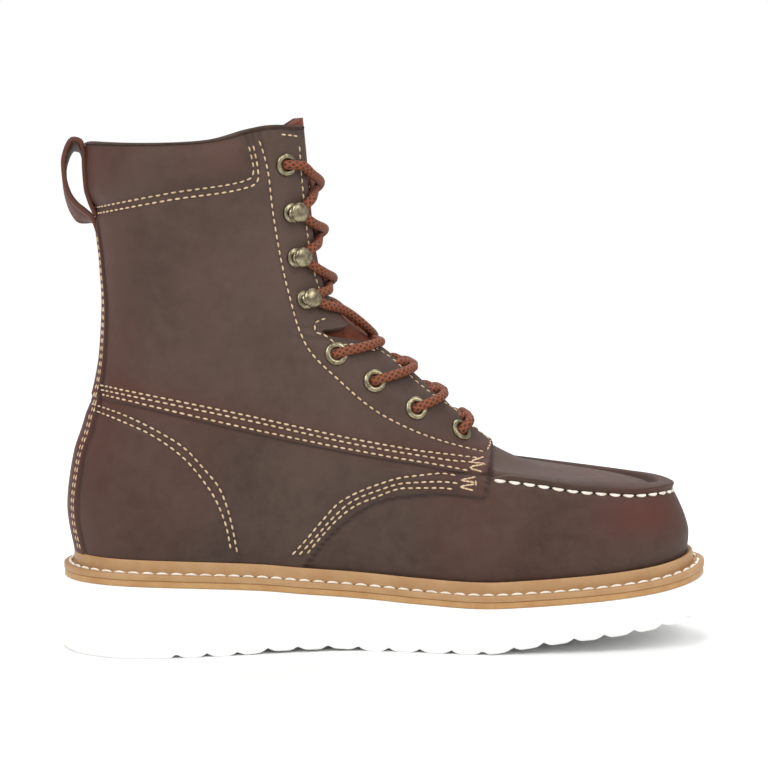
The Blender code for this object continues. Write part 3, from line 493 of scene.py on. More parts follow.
def leather_tones(points, levels, from_back, form):
    """Where the leather is burnished red and drawn pale, with a little painted light on the toe
    plug's top, and painted shade along its edges, seams, moc grooves and lip.
    """
    flat = points[:, (0, 2)]
    toe = np.exp(-(((points[:, 0] - 272) / 24) ** 2 + ((points[:, 2] - 63) / 11) ** 2))
    heel = np.exp(-((from_back / 24) ** 2)) * (0.75 - 0.5 * ease(11.5, 12.2, levels))
    pad_glow = ease(0, 10, signed_distance(flat, COLLAR)) * (0.45 + 0.55 * waves(points, 9, 11))
    patches = np.clip(waves(points, 22, 21) - 0.12, 0, 1) * 0.8
    burnish = np.clip(0.85 * toe + heel * 0.6 + 0.6 * pad_glow + patches
                      + 0.35 * form.backstay, 0, 0.9)
    strap = np.exp(-(distance_to(flat, strap_lines[1]) / 7) ** 2)
    burnish = np.clip(burnish + 0.35 * strap * form.quarters, 0, 0.9)
    # Painted light: the toe plug's upper face is made a little paler, as if lit from above
    plug = ease(3.58, 3.72, form.moc) * form.front
    pull_and_plug_light = np.clip(np.clip(0.3 * waves(points, 14, 31), 0, 0.5) + 0.06 * plug, 0, 0.6)
    # Painted shade: dark along the seams and at the foot of the quarters', shaft's and backstay's
    # edges, where the overlays step down
    edge = 0.4 * form.seam + np.exp(-((signed_distance(flat, QUARTERS) + 0.3) / 0.8) ** 2)
    edge += 0.6 * np.exp(-((signed_distance(flat, SHAFT) + 0.2) / 0.7) ** 2) * form.quarters
    edge += 0.8 * np.exp(-((form.strip_edge + 0.4) / 0.9) ** 2)
    # Painted shade in the moc seam's two grooves and on the lip's face, to show the lip's form
    groove = np.exp(-((form.moc - 2.95) / 0.04) ** 2) + np.exp(-((form.moc - 3.56) / 0.05) ** 2)
    lip = ease(2.98, 3.1, form.moc) * (1 - ease(3.44, 3.52, form.moc))
    edge += (0.8 * groove + 0.22 * lip) * form.front
    return {"burnish": burnish, "pull_and_plug_light": pull_and_plug_light,
            "edge": np.clip(edge * ease(0.9, 1.2, levels), 0, 0.85)}


# Objects and materials

def finish_mesh(name, verts, faces, material, floats=None, weld=True):
    """A piece from points in the boot's millimetres, riding on the boot."""
    mesh = bpy.data.meshes.new(name)
    moved = (np.asarray(verts, float) + ORIGIN) * MM
    mesh.from_pydata([tuple(v) for v in moved], [], [tuple(f) for f in faces])
    for key, values in (floats or {}).items():
        mesh.attributes.new(key, "FLOAT", "POINT").data.foreach_set(
            "value", np.asarray(values, np.float32))
    work = bmesh.new()
    work.from_mesh(mesh)
    if weld:
        bmesh.ops.remove_doubles(work, verts=work.verts, dist=0.001 * MM)
    bmesh.ops.recalc_face_normals(work, faces=work.faces)
    work.to_mesh(mesh)
    work.free()
    mesh.shade_smooth()
    mesh.materials.append(material)
    piece = bpy.data.objects.new(name, mesh)
    bpy.context.scene.collection.objects.link(piece)
    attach(piece, "root")
    return piece


def linear(code):
    """A colour written as sRGB hex, as linear light."""
    parts = [int(code[k:k + 2], 16) / 255 for k in (1, 3, 5)]
    return tuple(c / 12.92 if c <= 0.04045 else ((c + 0.055) / 1.055) ** 2.4
                 for c in parts) + (1.0,)


def node(tree, kind, values=None):
    """Adds a shader node with its settings, fixed inputs and inputs from other nodes."""
    made = tree.nodes.new(kind)
    for key, value in (values or {}).items():
        if isinstance(value, bpy.types.NodeSocket):
            tree.links.new(value, made.inputs[key])
        elif isinstance(key, str) and hasattr(made, key):
            setattr(made, key, value)
        else:
            made.inputs[key].default_value = value
    return made


def maths(tree, operation, first, second=0.0, clamp=False):
    """One sum on numbers or other nodes' outputs."""
    return node(tree, "ShaderNodeMath", {"operation": operation, "use_clamp": clamp,
                                         0: first, 1: second}).outputs[0]


def new_material(name):
    """A material, its nodes, its shader and the object's own place."""
    material = bpy.data.materials.new(name)
    material.use_nodes = True
    tree = material.node_tree
    shader = tree.nodes["Principled BSDF"]
    place = node(tree, "ShaderNodeTexCoord").outputs["Object"]
    return material, tree, shader, place


def noise(tree, place, size_mm, detail=4.0, rough=0.55):
    """Cloudy noise whose patches have a size in millimetres."""
    return node(tree, "ShaderNodeTexNoise", {
        "Scale": 1 / (size_mm * MM), "Detail": detail, "Roughness": rough,
        "Vector": place}).outputs["Fac"]


def ramp(tree, source, low, high, start=0.0, end=1.0):
    """Turns a value between low and high into one between start and end."""
    return node(tree, "ShaderNodeMapRange",
                {0: source, 1: low, 2: high, 3: start, 4: end}).outputs[0]


def blend_colour(tree, factor, first, second):
    """A mix of two colours, each fixed or from another node."""
    return node(tree, "ShaderNodeMix",
                {"data_type": "RGBA", 0: factor, 6: first, 7: second}).outputs[2]


def attribute(tree, name):
    """A value that the mesh keeps at each of its points."""
    return node(tree, "ShaderNodeAttribute", {"attribute_name": name}).outputs["Fac"]


def bump(tree, shader, layers):
    """Bump layers as heights with their strength and depth in millimetres."""
    last = None
    for height, strength, depth in layers:
        values = {"Strength": strength, "Distance": depth * MM, "Height": height}
        if last is not None:
            values["Normal"] = last
        last = node(tree, "ShaderNodeBump", values).outputs["Normal"]
    tree.links.new(last, shader.inputs["Normal"])


def oiled_leather(name, plain="#4c3930", deep="#34261e", burnt="#532b22", light="#64534a"):
    """Oiled pull-up leather: mottled brown, reddish where it is drawn, with a fine grain, and
    painted shade that darkens it towards the bottom.
    """
    material, tree, shader, place = new_material(name)
    cloud_and_low_shade = ramp(tree, noise(tree, place, 38, 3), 0.34, 0.66, 0.0, 0.5)
    # Painted shade: below 130 mm the leather mixes towards its deep tone, most at 40 mm and lower
    height = node(tree, "ShaderNodeSeparateXYZ", {0: place}).outputs[2]
    low = ramp(tree, height, 0.13, 0.04, 0.0, 0.55)
    cloud_and_low_shade = maths(tree, "ADD", cloud_and_low_shade, low, clamp=True)
    mottle = ramp(tree, noise(tree, place, 7, 5, 0.65), 0.35, 0.7)
    colour = blend_colour(tree, cloud_and_low_shade, linear(plain), linear(deep))
    colour = blend_colour(tree, ramp(tree, mottle, 0, 1, 0.0, 0.24), colour, linear(light))
    colour = blend_colour(tree, attribute(tree, "burnish"), colour, linear(burnt))
    # Pale where the leather is drawn, and painted light on the toe plug's top
    colour = blend_colour(tree, attribute(tree, "pull_and_plug_light"), colour, linear(light))
    # Painted shade: the edge mark darkens the seams, the overlays' steps, the moc grooves and the
    # lip
    colour = blend_colour(tree, attribute(tree, "edge"), colour, linear("#2c1f1a"))
    tree.links.new(colour, shader.inputs["Base Color"])
    grain = node(tree, "ShaderNodeTexVoronoi", {"Scale": 1 / (0.9 * MM), "Vector": place})
    fine = noise(tree, place, 0.45, 3)
    tree.links.new(ramp(tree, mottle, 0, 1, 0.5, 0.66), shader.inputs["Roughness"])
    shader.inputs["Specular IOR Level"].default_value = 0.26
    bump(tree, shader, ((mottle, 0.25, 0.25), (grain.outputs["Distance"], 0.28, 0.12),
                        (fine, 0.3, 0.08)))
    return material


def plain_material(name, first, second, size_mm, roughness, grain_mm=0.5, depth=0.08,
                   metallic=0.0, specular=0.5):
    """A surface of two close tones with a fine grain."""
    material, tree, shader, place = new_material(name)
    mix = ramp(tree, noise(tree, place, size_mm, 5), 0.35, 0.65)
    tree.links.new(blend_colour(tree, mix, linear(first), linear(second)),
                   shader.inputs["Base Color"])
    shader.inputs["Roughness"].default_value = roughness
    shader.inputs["Metallic"].default_value = metallic
    shader.inputs["Specular IOR Level"].default_value = specular
    bump(tree, shader, ((noise(tree, place, grain_mm, 4), 0.4, depth),))
    return material


def braid(name, first, second, turns, pitch_mm):
    """A braided cord: two families of strands that cross round the lace, with painted shade in the
    hollows between them.
    """
    material, tree, shader, place = new_material(name)
    along, around = attribute(tree, "along"), attribute(tree, "around")
    run = maths(tree, "MULTIPLY", along, 2 * math.pi / pitch_mm)
    heights = [maths(tree, "SINE", maths(tree, "ADD", run, maths(
        tree, "MULTIPLY", around, sign * 2 * math.pi * turns))) for sign in (1, -1)]
    weave = maths(tree, "MAXIMUM", *heights)
    # Painted shade: dark where both strands are low, in the hollows of the weave; the strands
    # themselves are rust
    tree.links.new(blend_colour(tree, ramp(tree, weave, -0.6, 1.0), linear(first),
                                linear(second)), shader.inputs["Base Color"])
    shader.inputs["Roughness"].default_value = 0.75
    bump(tree, shader, ((weave, 0.6, 0.25), (noise(tree, place, 0.3, 2), 0.4, 0.1)))
    return material


# Oiled pull-up cowhide, drum dyed: matt brown, redder where it is rubbed, pale where drawn; with
# painted shade towards the bottom and along its seams, overlay steps and moc lip, and a little
# painted light on the toe plug's top
leather = oiled_leather("oiled_leather")
# The same hide cut in strips, with rubbed edges: a little redder, with the same painted shade
# towards the bottom
edge_leather = oiled_leather("leather_strips", plain="#4f3329", deep="#37231c",
                             burnt="#6b3a2b", light="#614a3f")
# Split cowhide, dyed rust and brushed: warm and flat, with no shine
lining = plain_material("rust_lining", "#6e3824", "#4e2618", 6, 0.8, specular=0.25)
# Smooth lining leather, worn in: dull mid brown
inner_lining = plain_material("shaft_lining", "#5b4334", "#4a3529", 9, 0.8)
# Vegetable tanned welting, waxed: honey tan with a low sheen
tan = plain_material("tan_welt", "#ac875d", "#a27a4e", 12, 0.5, 0.7, 0.1)
# Leather board, sanded at its edge: a yellower tan with a fine tooth
tan_edge = plain_material("tan_midsole", "#b48b58", "#a87c4a", 9, 0.5, 0.6, 0.1)
# Foam rubber, moulded: nearly white and dull, like soap
rubber = plain_material("white_foam_rubber", "#f6f6f4", "#eeeeeb", 14, 0.55, 0.8, 0.06)
# Brass, stamped and darkened: greenish gold, bright where it is worn
brass = plain_material("antique_brass", "#a69c80", "#6a614c", 2.2, 0.32, 0.6, 0.06, 1.0)
# Waxed nylon thread, twisted: cream, with a soft gleam
cream = plain_material("cream_thread", "#d6bd9c", "#bfa07c", 3, 0.7, 0.25, 0.1)
# Thick hand-sewing thread, twisted: white and a little furry
white = plain_material("white_thread", "#f3ece0", "#d9cdbc", 3, 0.7, 0.3, 0.15)
# Cotton tape, woven and folded: dark brown, without shine
binding_cloth = plain_material("collar_binding", "#44332c", "#30231e", 5, 0.85, 0.4, 0.2,
                               specular=0.2)
# Pressed fibre board with a cloth face: a dusty brown
insole_cloth = plain_material("insole_sheet", "#8d7358", "#786048", 7, 0.85)
# Polyester lace, braided: rust strands with painted shade dark in the hollows between them, drawn
# coarse so they show
lace_cloth = braid("braided_lace", "#3a1a0f", "#844422", 5, 3.0)

# Leather upper

UPPER_LEVELS = np.concatenate([np.linspace(0.2, 2.9, 62), np.linspace(2.92, 3.5, 30),
                               np.linspace(3.53, 5.99, 66), np.linspace(6.01, 13, 116)])
SIDE_COLUMNS = 168
WELT_COLUMNS, SOLE_COLUMNS = 150, 300


def build_upper():
    """The outer leather in one skin, with its thickness shown along the throat."""
    grid, normals = surface(UPPER_LEVELS, SIDE_COLUMNS)
    rows, columns = grid.shape[:2]
    levels = np.repeat(UPPER_LEVELS, columns)
    middle = columns // 2
    from_back = np.zeros((rows, columns))
    for i in range(rows):
        run = lengths(grid[i])
        from_back[i] = np.abs(run - run[middle])
    points, from_back = grid.reshape(-1, 3), from_back.ravel()
    form = leather_form(points, levels, from_back)
    outer = points + normals.reshape(-1, 3) * form.relief[:, None]
    outer[:, 2] += toe_lift(points[:, 0], levels) + collar_lift(points[:, 0], levels)
    outer = outer.reshape(grid.shape)
    inner = grid - normals * WALL
    verts, faces = [outer.reshape(-1, 3)], grid_faces(rows, columns)
    source = [np.arange(rows * columns)]
    opened = np.nonzero(UPPER_LEVELS > THROAT_LEVEL)[0]
    for column in (0, columns - 1):
        start = sum(len(part) for part in verts)
        strip = np.stack([outer[opened, column], inner[opened, column]], axis=1)
        verts.append(strip.reshape(-1, 3))
        source.append(np.repeat(opened * columns + column, 2))
        faces += [tuple(start + v for v in face) for face in grid_faces(len(opened), 2)]
    source = np.concatenate(source)
    floats = {key: values[source] for key, values
              in leather_tones(points, levels, from_back, form).items()}
    piece = finish_mesh("upper_leather", np.vstack(verts), faces, leather,
                        floats)
    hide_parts("upper", "quarter_medial", "quarter_lateral", "strap_medial",
                "strap_lateral", "eyestay_medial", "eyestay_lateral", "backstay")
    return outer


OUTER = build_upper()
OUTER_TREE = skin_tree(OUTER)


def build_lining():
    """The inner face of the upper's wall."""
    rows = np.concatenate([np.linspace(0.2, 6, 34), np.linspace(6.02, 13, 50)])
    grid, normals = surface(rows, 60)
    inside = grid - normals * WALL
    inside[:, :, 2] += collar_lift(inside[:, :, 0], rows[:, None])
    finish_mesh("upper_lining", inside.reshape(-1, 3),
                grid_faces(*grid.shape[:2]), inner_lining)


def build_tongue():
    """The tongue between the facings, fuller in the middle of the bend."""
    rows = np.concatenate([np.linspace(5.5, 9, 30), np.linspace(9.1, 14, 34)])
    across = np.linspace(-1, 1, 41)
    grid = np.zeros((len(rows), len(across), 3))
    for i, place in enumerate(rows):
        width = float(smooth(TONGUE, place)) * (1 - 0.12 * float(ease(13.4, 14, place)))
        for side in (-1, 1):
            half = half_ring(place, side)
            chosen = across < 0 if side < 0 else across >= 0
            grid[i, chosen] = at_lengths(half, lengths(half)[-1] - np.abs(across[chosen]) * width)
    normals = grid_normals(grid, [False] * len(rows))
    grid[:, :, 2] -= (1.6 + 7.0 * across[None, :] ** 2) * ease(12.5, 14, rows)[:, None]
    swell = 1.5 + 3.0 * np.exp(-((rows - 8.8) / 0.7) ** 2)
    middle = (1 - across ** 2) ** 2
    outside = grid - normals * (TONGUE_OFFSET - swell[:, None] * middle[None, :])[:, :, None]
    inside = grid - normals * (TONGUE_OFFSET + TONGUE_THICKNESS)
    skin = np.concatenate([outside, inside[:, ::-1], outside[:, :1]], axis=1)
    verts = skin.reshape(-1, 3)
    count = skin.shape[1]
    faces = grid_faces(len(rows), count)
    top = (len(rows) - 1) * count
    half = len(across)
    faces += [(top + k, top + k + 1, top + 2 * half - 2 - k, top + 2 * half - 1 - k)
              for k in range(half - 1)]
    piece = finish_mesh("tongue_lining", verts, faces, lining)
    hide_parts("tongue")


def sweep(name, paths, radius, material, sides, spacing):
    """Round cords along paths, with the run and the turn kept for their weave."""
    verts, faces, along, around = [], [], [], []
    for line in paths:
        line = np.asarray(line, float)
        total = lengths(line)[-1]
        count = max(4, int(total / spacing))
        wanted = np.linspace(0, total, count)
        fine = smooth_run(line, wanted)
        for _ in range(2):
            fine[1:-1] = (fine[:-2] + 2 * fine[1:-1] + fine[2:]) / 4
        tangent = np.gradient(fine, axis=0)
        tangent /= np.maximum(np.linalg.norm(tangent, axis=1, keepdims=True), 1e-9)
        side = np.cross(tangent[0], (0.3, 0.2, 0.9))
        start = len(verts)
        for k in range(count):
            side = side - tangent[k] * (side @ tangent[k])
            side = side / np.linalg.norm(side)
            other = np.cross(tangent[k], side)
            for turn in range(sides + 1):
                angle = 2 * math.pi * turn / sides
                verts.append(fine[k] + radius * (side * math.cos(angle)
                                                 + other * math.sin(angle)))
                along.append(wanted[k])
                around.append(turn / sides)
        faces += [tuple(start + v for v in face) for face in grid_faces(count, sides + 1)]
        faces.append(tuple(start + k for k in range(sides)))
        faces.append(tuple(len(verts) - sides - 1 + k for k in range(sides)))
    return finish_mesh(name, verts, faces, material, {"along": along, "around": around},
                       weld=False)


def build_binding():
    """Dark cloth folded over the collar's top edge."""
    row = OUTER[-1]
    grid, normals = surface([12.9, 13.0], SIDE_COLUMNS)
    inner = grid[-1] - normals[-1] * WALL
    inner[:, 2] += collar_lift(inner[:, 0], 13)
    line = (row + inner) / 2
    section = []
    for k in range(len(line)):
        across = row[k] - inner[k]
        across /= np.linalg.norm(across)
        width = np.linalg.norm(row[k] - inner[k]) / 2 + 0.5
        for turn in range(13):
            angle = 2 * math.pi * turn / 12
            lift = 1.0 if math.sin(angle) > 0 else 0.6 + 1.7 * float(ease(55, 100, line[k][0]))
            section.append(line[k] + across * width * math.cos(angle)
                           + np.array([0, 0, lift * math.sin(angle)]))
    finish_mesh("collar_binding", section, grid_faces(len(line), 13), binding_cloth)


def outline(columns):
    """The upper's foot line, the way out from it, and how far the welt reaches."""
    foot = ring(0, columns)[:-1]
    along = np.roll(foot, -1, axis=0) - np.roll(foot, 1, axis=0)
    out = np.stack([along[:, 1], -along[:, 0], np.zeros(len(foot))], axis=1)
    out /= np.linalg.norm(out, axis=1, keepdims=True)
    if np.sum((foot - foot.mean(axis=0)) * out) < 0:
        out = -out
    return foot, out, smooth(WELT_REACH, foot[:, 0])


def ring_faces(rings, count, closed=False):
    """Faces between loops of points."""
    faces = []
    for k in range(rings if closed else rings - 1):
        following = (k + 1) % rings
        for i in range(count):
            j = (i + 1) % count
            faces.append((k * count + i, k * count + j, following * count + j,
                          following * count + i))
    return faces


def true_faces(faces):
    """Faces without their repeated corners, where three or more are left."""
    kept = [tuple(dict.fromkeys(face)) for face in faces]
    return [face for face in kept if len(face) > 2]


def cap_faces(start, count):
    """Closes a loop that runs down one side and back up the other."""
    return true_faces([[start + v % count for v in (k, k + 1, count - k - 1, count - k)]
                       for k in range(count // 2)])


def build_welt():
    """A storm welt with a flat ledge, a stitch groove and a bead that climbs the upper."""
    foot, out, reach = outline(WELT_COLUMNS)
    lean = ring(1, WELT_COLUMNS)[:-1] - foot
    profile = [("foot", 0.0, WELT_SEAT), ("edge", 0.99, WELT_SEAT), ("edge", 1.0, 3.5),
               ("edge", 1.0, 5.2), ("edge", 0.985, 5.75), ("edge", 0.94, EDGE_HEIGHT),
               ("edge", 0.72, EDGE_HEIGHT), ("edge", 0.60, 5.6), ("bead", 1.25, 5.5)]
    profile += [("bead", 1.12 - 0.35 * (1 - math.cos(a)) * 1.2, 5.9 + 6.0 * math.sin(a))
                for a in np.linspace(0.1, math.pi / 2, 9)]
    profile += [("foot", 0.0, BEAD_TOP - 0.6)]
    rings = []
    for kind, share, height in profile:
        climb = (height - WELT_SEAT) / (BEAD_TOP - WELT_SEAT)
        base = foot + lean * climb * (kind != "edge")
        width = {"foot": 0.05, "bead": share * BEAD, "edge": share * reach}[kind]
        points = base + out * np.reshape(width, (-1, 1))
        points[:, 2] = smooth(SOLE_TOP, points[:, 0]) + height
        rings.append(points)
    piece = finish_mesh("welt_strip", np.vstack(rings),
                        ring_faces(len(rings), len(foot), True), tan)
    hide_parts("welt")


def build_midsole():
    """The thin tan sheet between the sole and the welt."""
    foot, out, reach = outline(WELT_COLUMNS)
    rings = []
    for share, height in ((0.5, 0.15), (0.985, 0.15), (1.0, 0.5), (1.0, 2.7), (0.985, 3.05),
                          (0.5, 3.05)):
        points = foot + out * (share * reach - (0.35 if share > 0.9 else 0))[:, None]
        points[:, 2] = smooth(SOLE_TOP, points[:, 0]) + height
        rings.append(points)
    count = len(foot)
    faces = ring_faces(len(rings), count)
    faces += cap_faces(0, count) + cap_faces((len(rings) - 1) * count, count)
    piece = finish_mesh("midsole_sheet", np.vstack(rings), faces, tan_edge)
    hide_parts("midsole")


def tread_rise(x):
    """The gaps between the tread's lobes, as a rise of the sole's foot."""
    share = ((x - FIRST_LOBE) / LOBE_PITCH) % 1.0
    edge = np.minimum(share, 1 - share)
    rise = LOBE_DEPTH * np.clip(1 - edge / 0.3, 0, 1) ** 1.6
    return np.where((x > FIRST_LOBE - 2) & (x < LAST_LOBE), rise, 0.0)


def build_outsole():
    """The white wedge, with its rippled tread."""
    foot, out, reach = outline(SOLE_COLUMNS)
    flare = 0.8 + 2.2 * ease(230, 300, foot[:, 0])
    rings = []
    for share, height, kind in ((0, 0.0, "inside"), (-0.7, 0.0, "top"), (-0.1, 0.15, "top"),
                                (0.0, 0.8, "top"), (0.35, 0.35, "wall"), (0.7, 0.65, "wall"),
                                (1.0, 1.0, "foot"), (0.95, 0.25, "foot"), (0.4, 0.0, "foot"),
                                (-1.5, 0.0, "foot"), (-6.0, 0.0, "foot")):
        spread = reach + (share * flare if share >= 0 else share)
        if kind == "inside":
            spread = reach - 12.0
        points = foot + out * spread[:, None]
        x = points[:, 0]
        top, low = smooth(SOLE_TOP, x), smooth(SOLE_FOOT, x)
        if kind in ("inside", "top"):
            points[:, 2] = top - height
        elif kind == "wall":
            points[:, 2] = top - 0.8 + (low + 3.0 - top) * height
        else:
            points[:, 2] = low + tread_rise(x) + height * 1.8
        rings.append(points)
    count = len(foot)
    faces = ring_faces(len(rings), count)
    half, strips = count // 2, 6
    verts = list(np.vstack(rings))
    start = (len(rings) - 1) * count
    last = rings[-1]
    index = {}
    for k in range(half + 1):
        for s in range(strips + 1):
            if s == 0:
                index[k, s] = start + k
            elif s == strips:
                index[k, s] = start + (count - k) % count
            else:
                point = last[k] + (last[(count - k) % count] - last[k]) * s / strips
                point[2] = float(smooth(SOLE_FOOT, point[0]) + tread_rise(point[0]))
                index[k, s] = len(verts)
                verts.append(point)
    faces += true_faces([[index[k, s], index[k, s + 1], index[k + 1, s + 1], index[k + 1, s]]
                         for k in range(half) for s in range(strips)])
    faces += cap_faces(0, count)
    piece = finish_mesh("outsole_rubber", verts, faces, rubber)
    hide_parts("outsole")


# Stitches

STITCH_REACH, HAND_REACH = 0.4, 1.0  # over which a stitch takes its way


def stitch_mesh(name, stitches, length, thickness, sides, rings, thread):
    """Small plump stitches, each lying along its way with its ends in the leather."""
    verts, faces = [], []
    for point, way, normal in stitches:
        way = way / np.linalg.norm(way)
        other = np.cross(normal, way)
        other = other / np.linalg.norm(other)
        start = len(verts)
        for k in range(rings + 1):
            u = 2 * k / rings - 1
            radius = thickness / 2 * math.sqrt(max(0.02, 1 - abs(u) ** 2.6))
            centre = point + way * u * length / 2 + normal * (0.32 * thickness * (1 - u * u)
                                                              - 0.15 * thickness)
            for turn in range(sides):
                angle = 2 * math.pi * turn / sides
                verts.append(centre + radius * (other * math.cos(angle)
                                                + 0.8 * normal * math.sin(angle)))
        for k in range(rings):
            for turn in range(sides):
                a, b = start + k * sides + turn, start + k * sides + (turn + 1) % sides
                faces.append((a, b, b + sides, a + sides))
        faces.append(tuple(start + k for k in range(sides))[::-1])
        faces.append(tuple(start + rings * sides + k for k in range(sides)))
    finish_mesh(name, verts, faces, thread)


def settle(point, normal):
    """A point moved onto the dressed leather."""
    hit, found, _, _ = OUTER_TREE.ray_cast(Vector(point + normal * 9), Vector(-normal))
    if hit is None or (Vector(point) - hit).length > 9:
        hit, found, _, _ = OUTER_TREE.find_nearest(Vector(point))
    found = np.array(found)
    return np.array(hit), found if found @ normal > 0 else -found


def along_line(line, pitch, side):
    """Places with their ways and normals at equal steps along a line of the side view."""
    spots, normals = (np.array(part) for part in
                      zip(*(settle(*across_foot(x, z, side)) for x, z in line)))
    run = lengths(spots)
    found = []
    for at, back, spot, front in steps(spots, pitch, STITCH_REACH):
        normal = np.array([np.interp(at, run, normals[:, a]) for a in range(3)])
        normal /= np.linalg.norm(normal)
        if np.linalg.norm(front - back) > 0.05:
            found.append((spot, front - back, normal))
    return found


def settled_line(line, pitch, facing):
    """Stitches along a line in space that is moved onto the leather, seen from one way."""
    found = []
    for _, back, _, front in steps(line, pitch, STITCH_REACH):
        spot, normal = settle((back + front) / 2, facing)
        found.append((spot, front - back, normal))
    return found


def build_seams():
    """The seams' cream stitches on both sides, the facings' edges and the backstay's rows."""
    stitches = []
    for side in (-1, 1):
        for line in GROOVES:
            stitches += along_line(line, STITCH_PITCH, side)
        for tack in TACKS_PX:
            stitches += along_line(photo_line(tack), TACK_PITCH, side)
        facing = np.array([0.5, side * 0.8, 0.1])
        edge = [settle(on_edge(place, 3.6, side), facing)[0]
                for place in np.linspace(9.4, 12.75, 60)]
        stitches += settled_line(np.array(edge), STITCH_PITCH, facing)
        for inset in BACKSTAY_INSETS:
            line = [at_lengths(half_ring(place, side),
                               [float(smooth(BACKSTAY, place)) - inset])[0]
                    for place in np.linspace(1.1, 11.3, 90)]
            stitches += settled_line(np.array(line), STITCH_PITCH,
                                     np.array([-0.8, side * 0.6, 0.0]))
    stitch_mesh("seam_stitches", stitches, 2.75, 0.95, 5, 4, cream)


def build_moc_stitches():
    """Thick hand stitches under the lip, from quarter to quarter round the toe."""
    halves = []
    places = np.arange(2.97, 3.5, 0.01)
    for side in (-1, 1):
        rings = np.stack([half_ring(place, side) for place in places])
        miss = np.abs(places[:, None] - MOC_SEAM - moc_shift(rings[:, :, 0]))
        half = rings[np.argmin(miss, axis=0), np.arange(rings.shape[1])]
        half = half[half[:, 0] > VAMP_FROM]
        half = half[signed_distance(half[:, (0, 2)], QUARTERS) < -0.6]
        half[:, 2] += toe_lift(half[:, 0], 3.07)
        halves.append(half)
    line = np.vstack([halves[0], halves[1][::-1][1:]])
    stitches = []
    for _, back, spot, front in steps(line, HAND_PITCH, HAND_REACH):
        way = (front - back) / np.linalg.norm(front - back)
        outward = np.cross(way, (0, 0, 1.0))
        if outward @ (spot - np.array([240, 0, 70])) < 0:
            outward = -outward
        point, normal = settle(spot, outward / np.linalg.norm(outward))
        stitches.append((point + normal * 0.35, way, normal))
    stitch_mesh("moc_stitches", stitches, 5.6, 1.9, 8, 8, white)


def build_welt_stitches():
    """White stitches along the welt's ledge, all the way round."""
    foot, out, reach = outline(WELT_COLUMNS)
    line = foot + out * (WELT_LINE * reach)[:, None]
    line[:, 2] = smooth(SOLE_TOP, line[:, 0]) + EDGE_HEIGHT + 0.05
    line = np.vstack([line, line[:1]])
    stitches = [(spot, front - back, np.array([0, 0, 1.0]))
                for _, back, spot, front in steps(line, WELT_PITCH, HAND_REACH)]
    stitch_mesh("welt_stitches", stitches, 5.8, 1.5, 8, 8, white)


# Hardware and lace

def turned(name, frame, profile, sides, closed, node_name):
    """A turned fitting from heights, radii and shifts to the throat."""
    point, normal, front = frame
    other = np.cross(normal, front)
    verts = []
    for height, radius, shift in profile:
        centre = point + normal * height + front * shift
        for k in range(sides):
            angle = 2 * math.pi * k / sides
            verts.append(centre + radius * (front * math.cos(angle) + other * math.sin(angle)))
    faces = ring_faces(len(profile), sides, closed)
    if not closed:
        faces += [tuple(range(sides))[::-1],
                  tuple((len(profile) - 1) * sides + k for k in range(sides))]
    piece = finish_mesh(name, verts, faces, brass)
    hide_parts(node_name)


def build_hardware():
    """Rolled eyelet rings, and hooks that are a washer, a neck and a domed cap."""
    for side, word in ((-1, "medial"), (1, "lateral")):
        for number, fitting in enumerate(EYELETS, 1):
            outer, inner = (5.3, 2.6) if number == 5 else (5.5, 2.7)
            middle, half, seat = (outer + inner) / 2, (outer - inner) / 2, 2.2
            profile = [(seat - 0.5, outer, 0)]
            profile += [(seat + 1.15 * math.sin(angle) ** 0.8, middle + half * math.cos(angle), 0)
                        for angle in np.linspace(0, math.pi, 9)]
            profile.append((seat - 3.0, inner * 0.95, 0))
            turned(f"eyelet_ring_{number}_{word}", seat_frame(*fitting, side), profile, 40,
                   True, f"eyelet_{number}_{word}")
        for number, fitting in enumerate(HOOKS, 1):
            seat = 2.1
            profile = [(seat - 0.4, 4.6, -2.8), (seat + 0.5, 4.6, -2.8), (seat + 0.9, 4.3, -2.8),
                       (seat + 1.0, 2.4, -3.0), (seat + 1.3, 1.7, -3.0), (seat + 3.4, 1.7, -2.6),
                       (seat + 3.8, 2.6, -2.2), (seat + 4.0, 4.4, -1.6), (seat + 4.3, 4.7, -1.6),
                       (seat + 4.9, 4.6, -1.5), (seat + 5.5, 3.7, -1.5), (seat + 5.9, 2.2, -1.5),
                       (seat + 6.0, 0.4, -1.5)]
            turned(f"hook_cap_{number}_{word}", seat_frame(*fitting, side), profile, 32, False,
                   f"hook_{number}_{word}")


def lifted(place, behind, side, lift):
    """A point above the facing's leather."""
    point, normal, _ = seat_frame(place, behind, side)
    return point + normal * lift


def crown(place, lift):
    """A point in front of the tongue, in the middle of the throat."""
    rise = half_ring(place + 0.2, -1)[-1] - half_ring(place - 0.2, -1)[-1]
    normal = np.array([rise[2], 0, -rise[0]])
    normal /= np.linalg.norm(normal)
    if normal[0] < 0:
        normal = -normal
    return half_ring(place, -1)[-1] + normal * lift


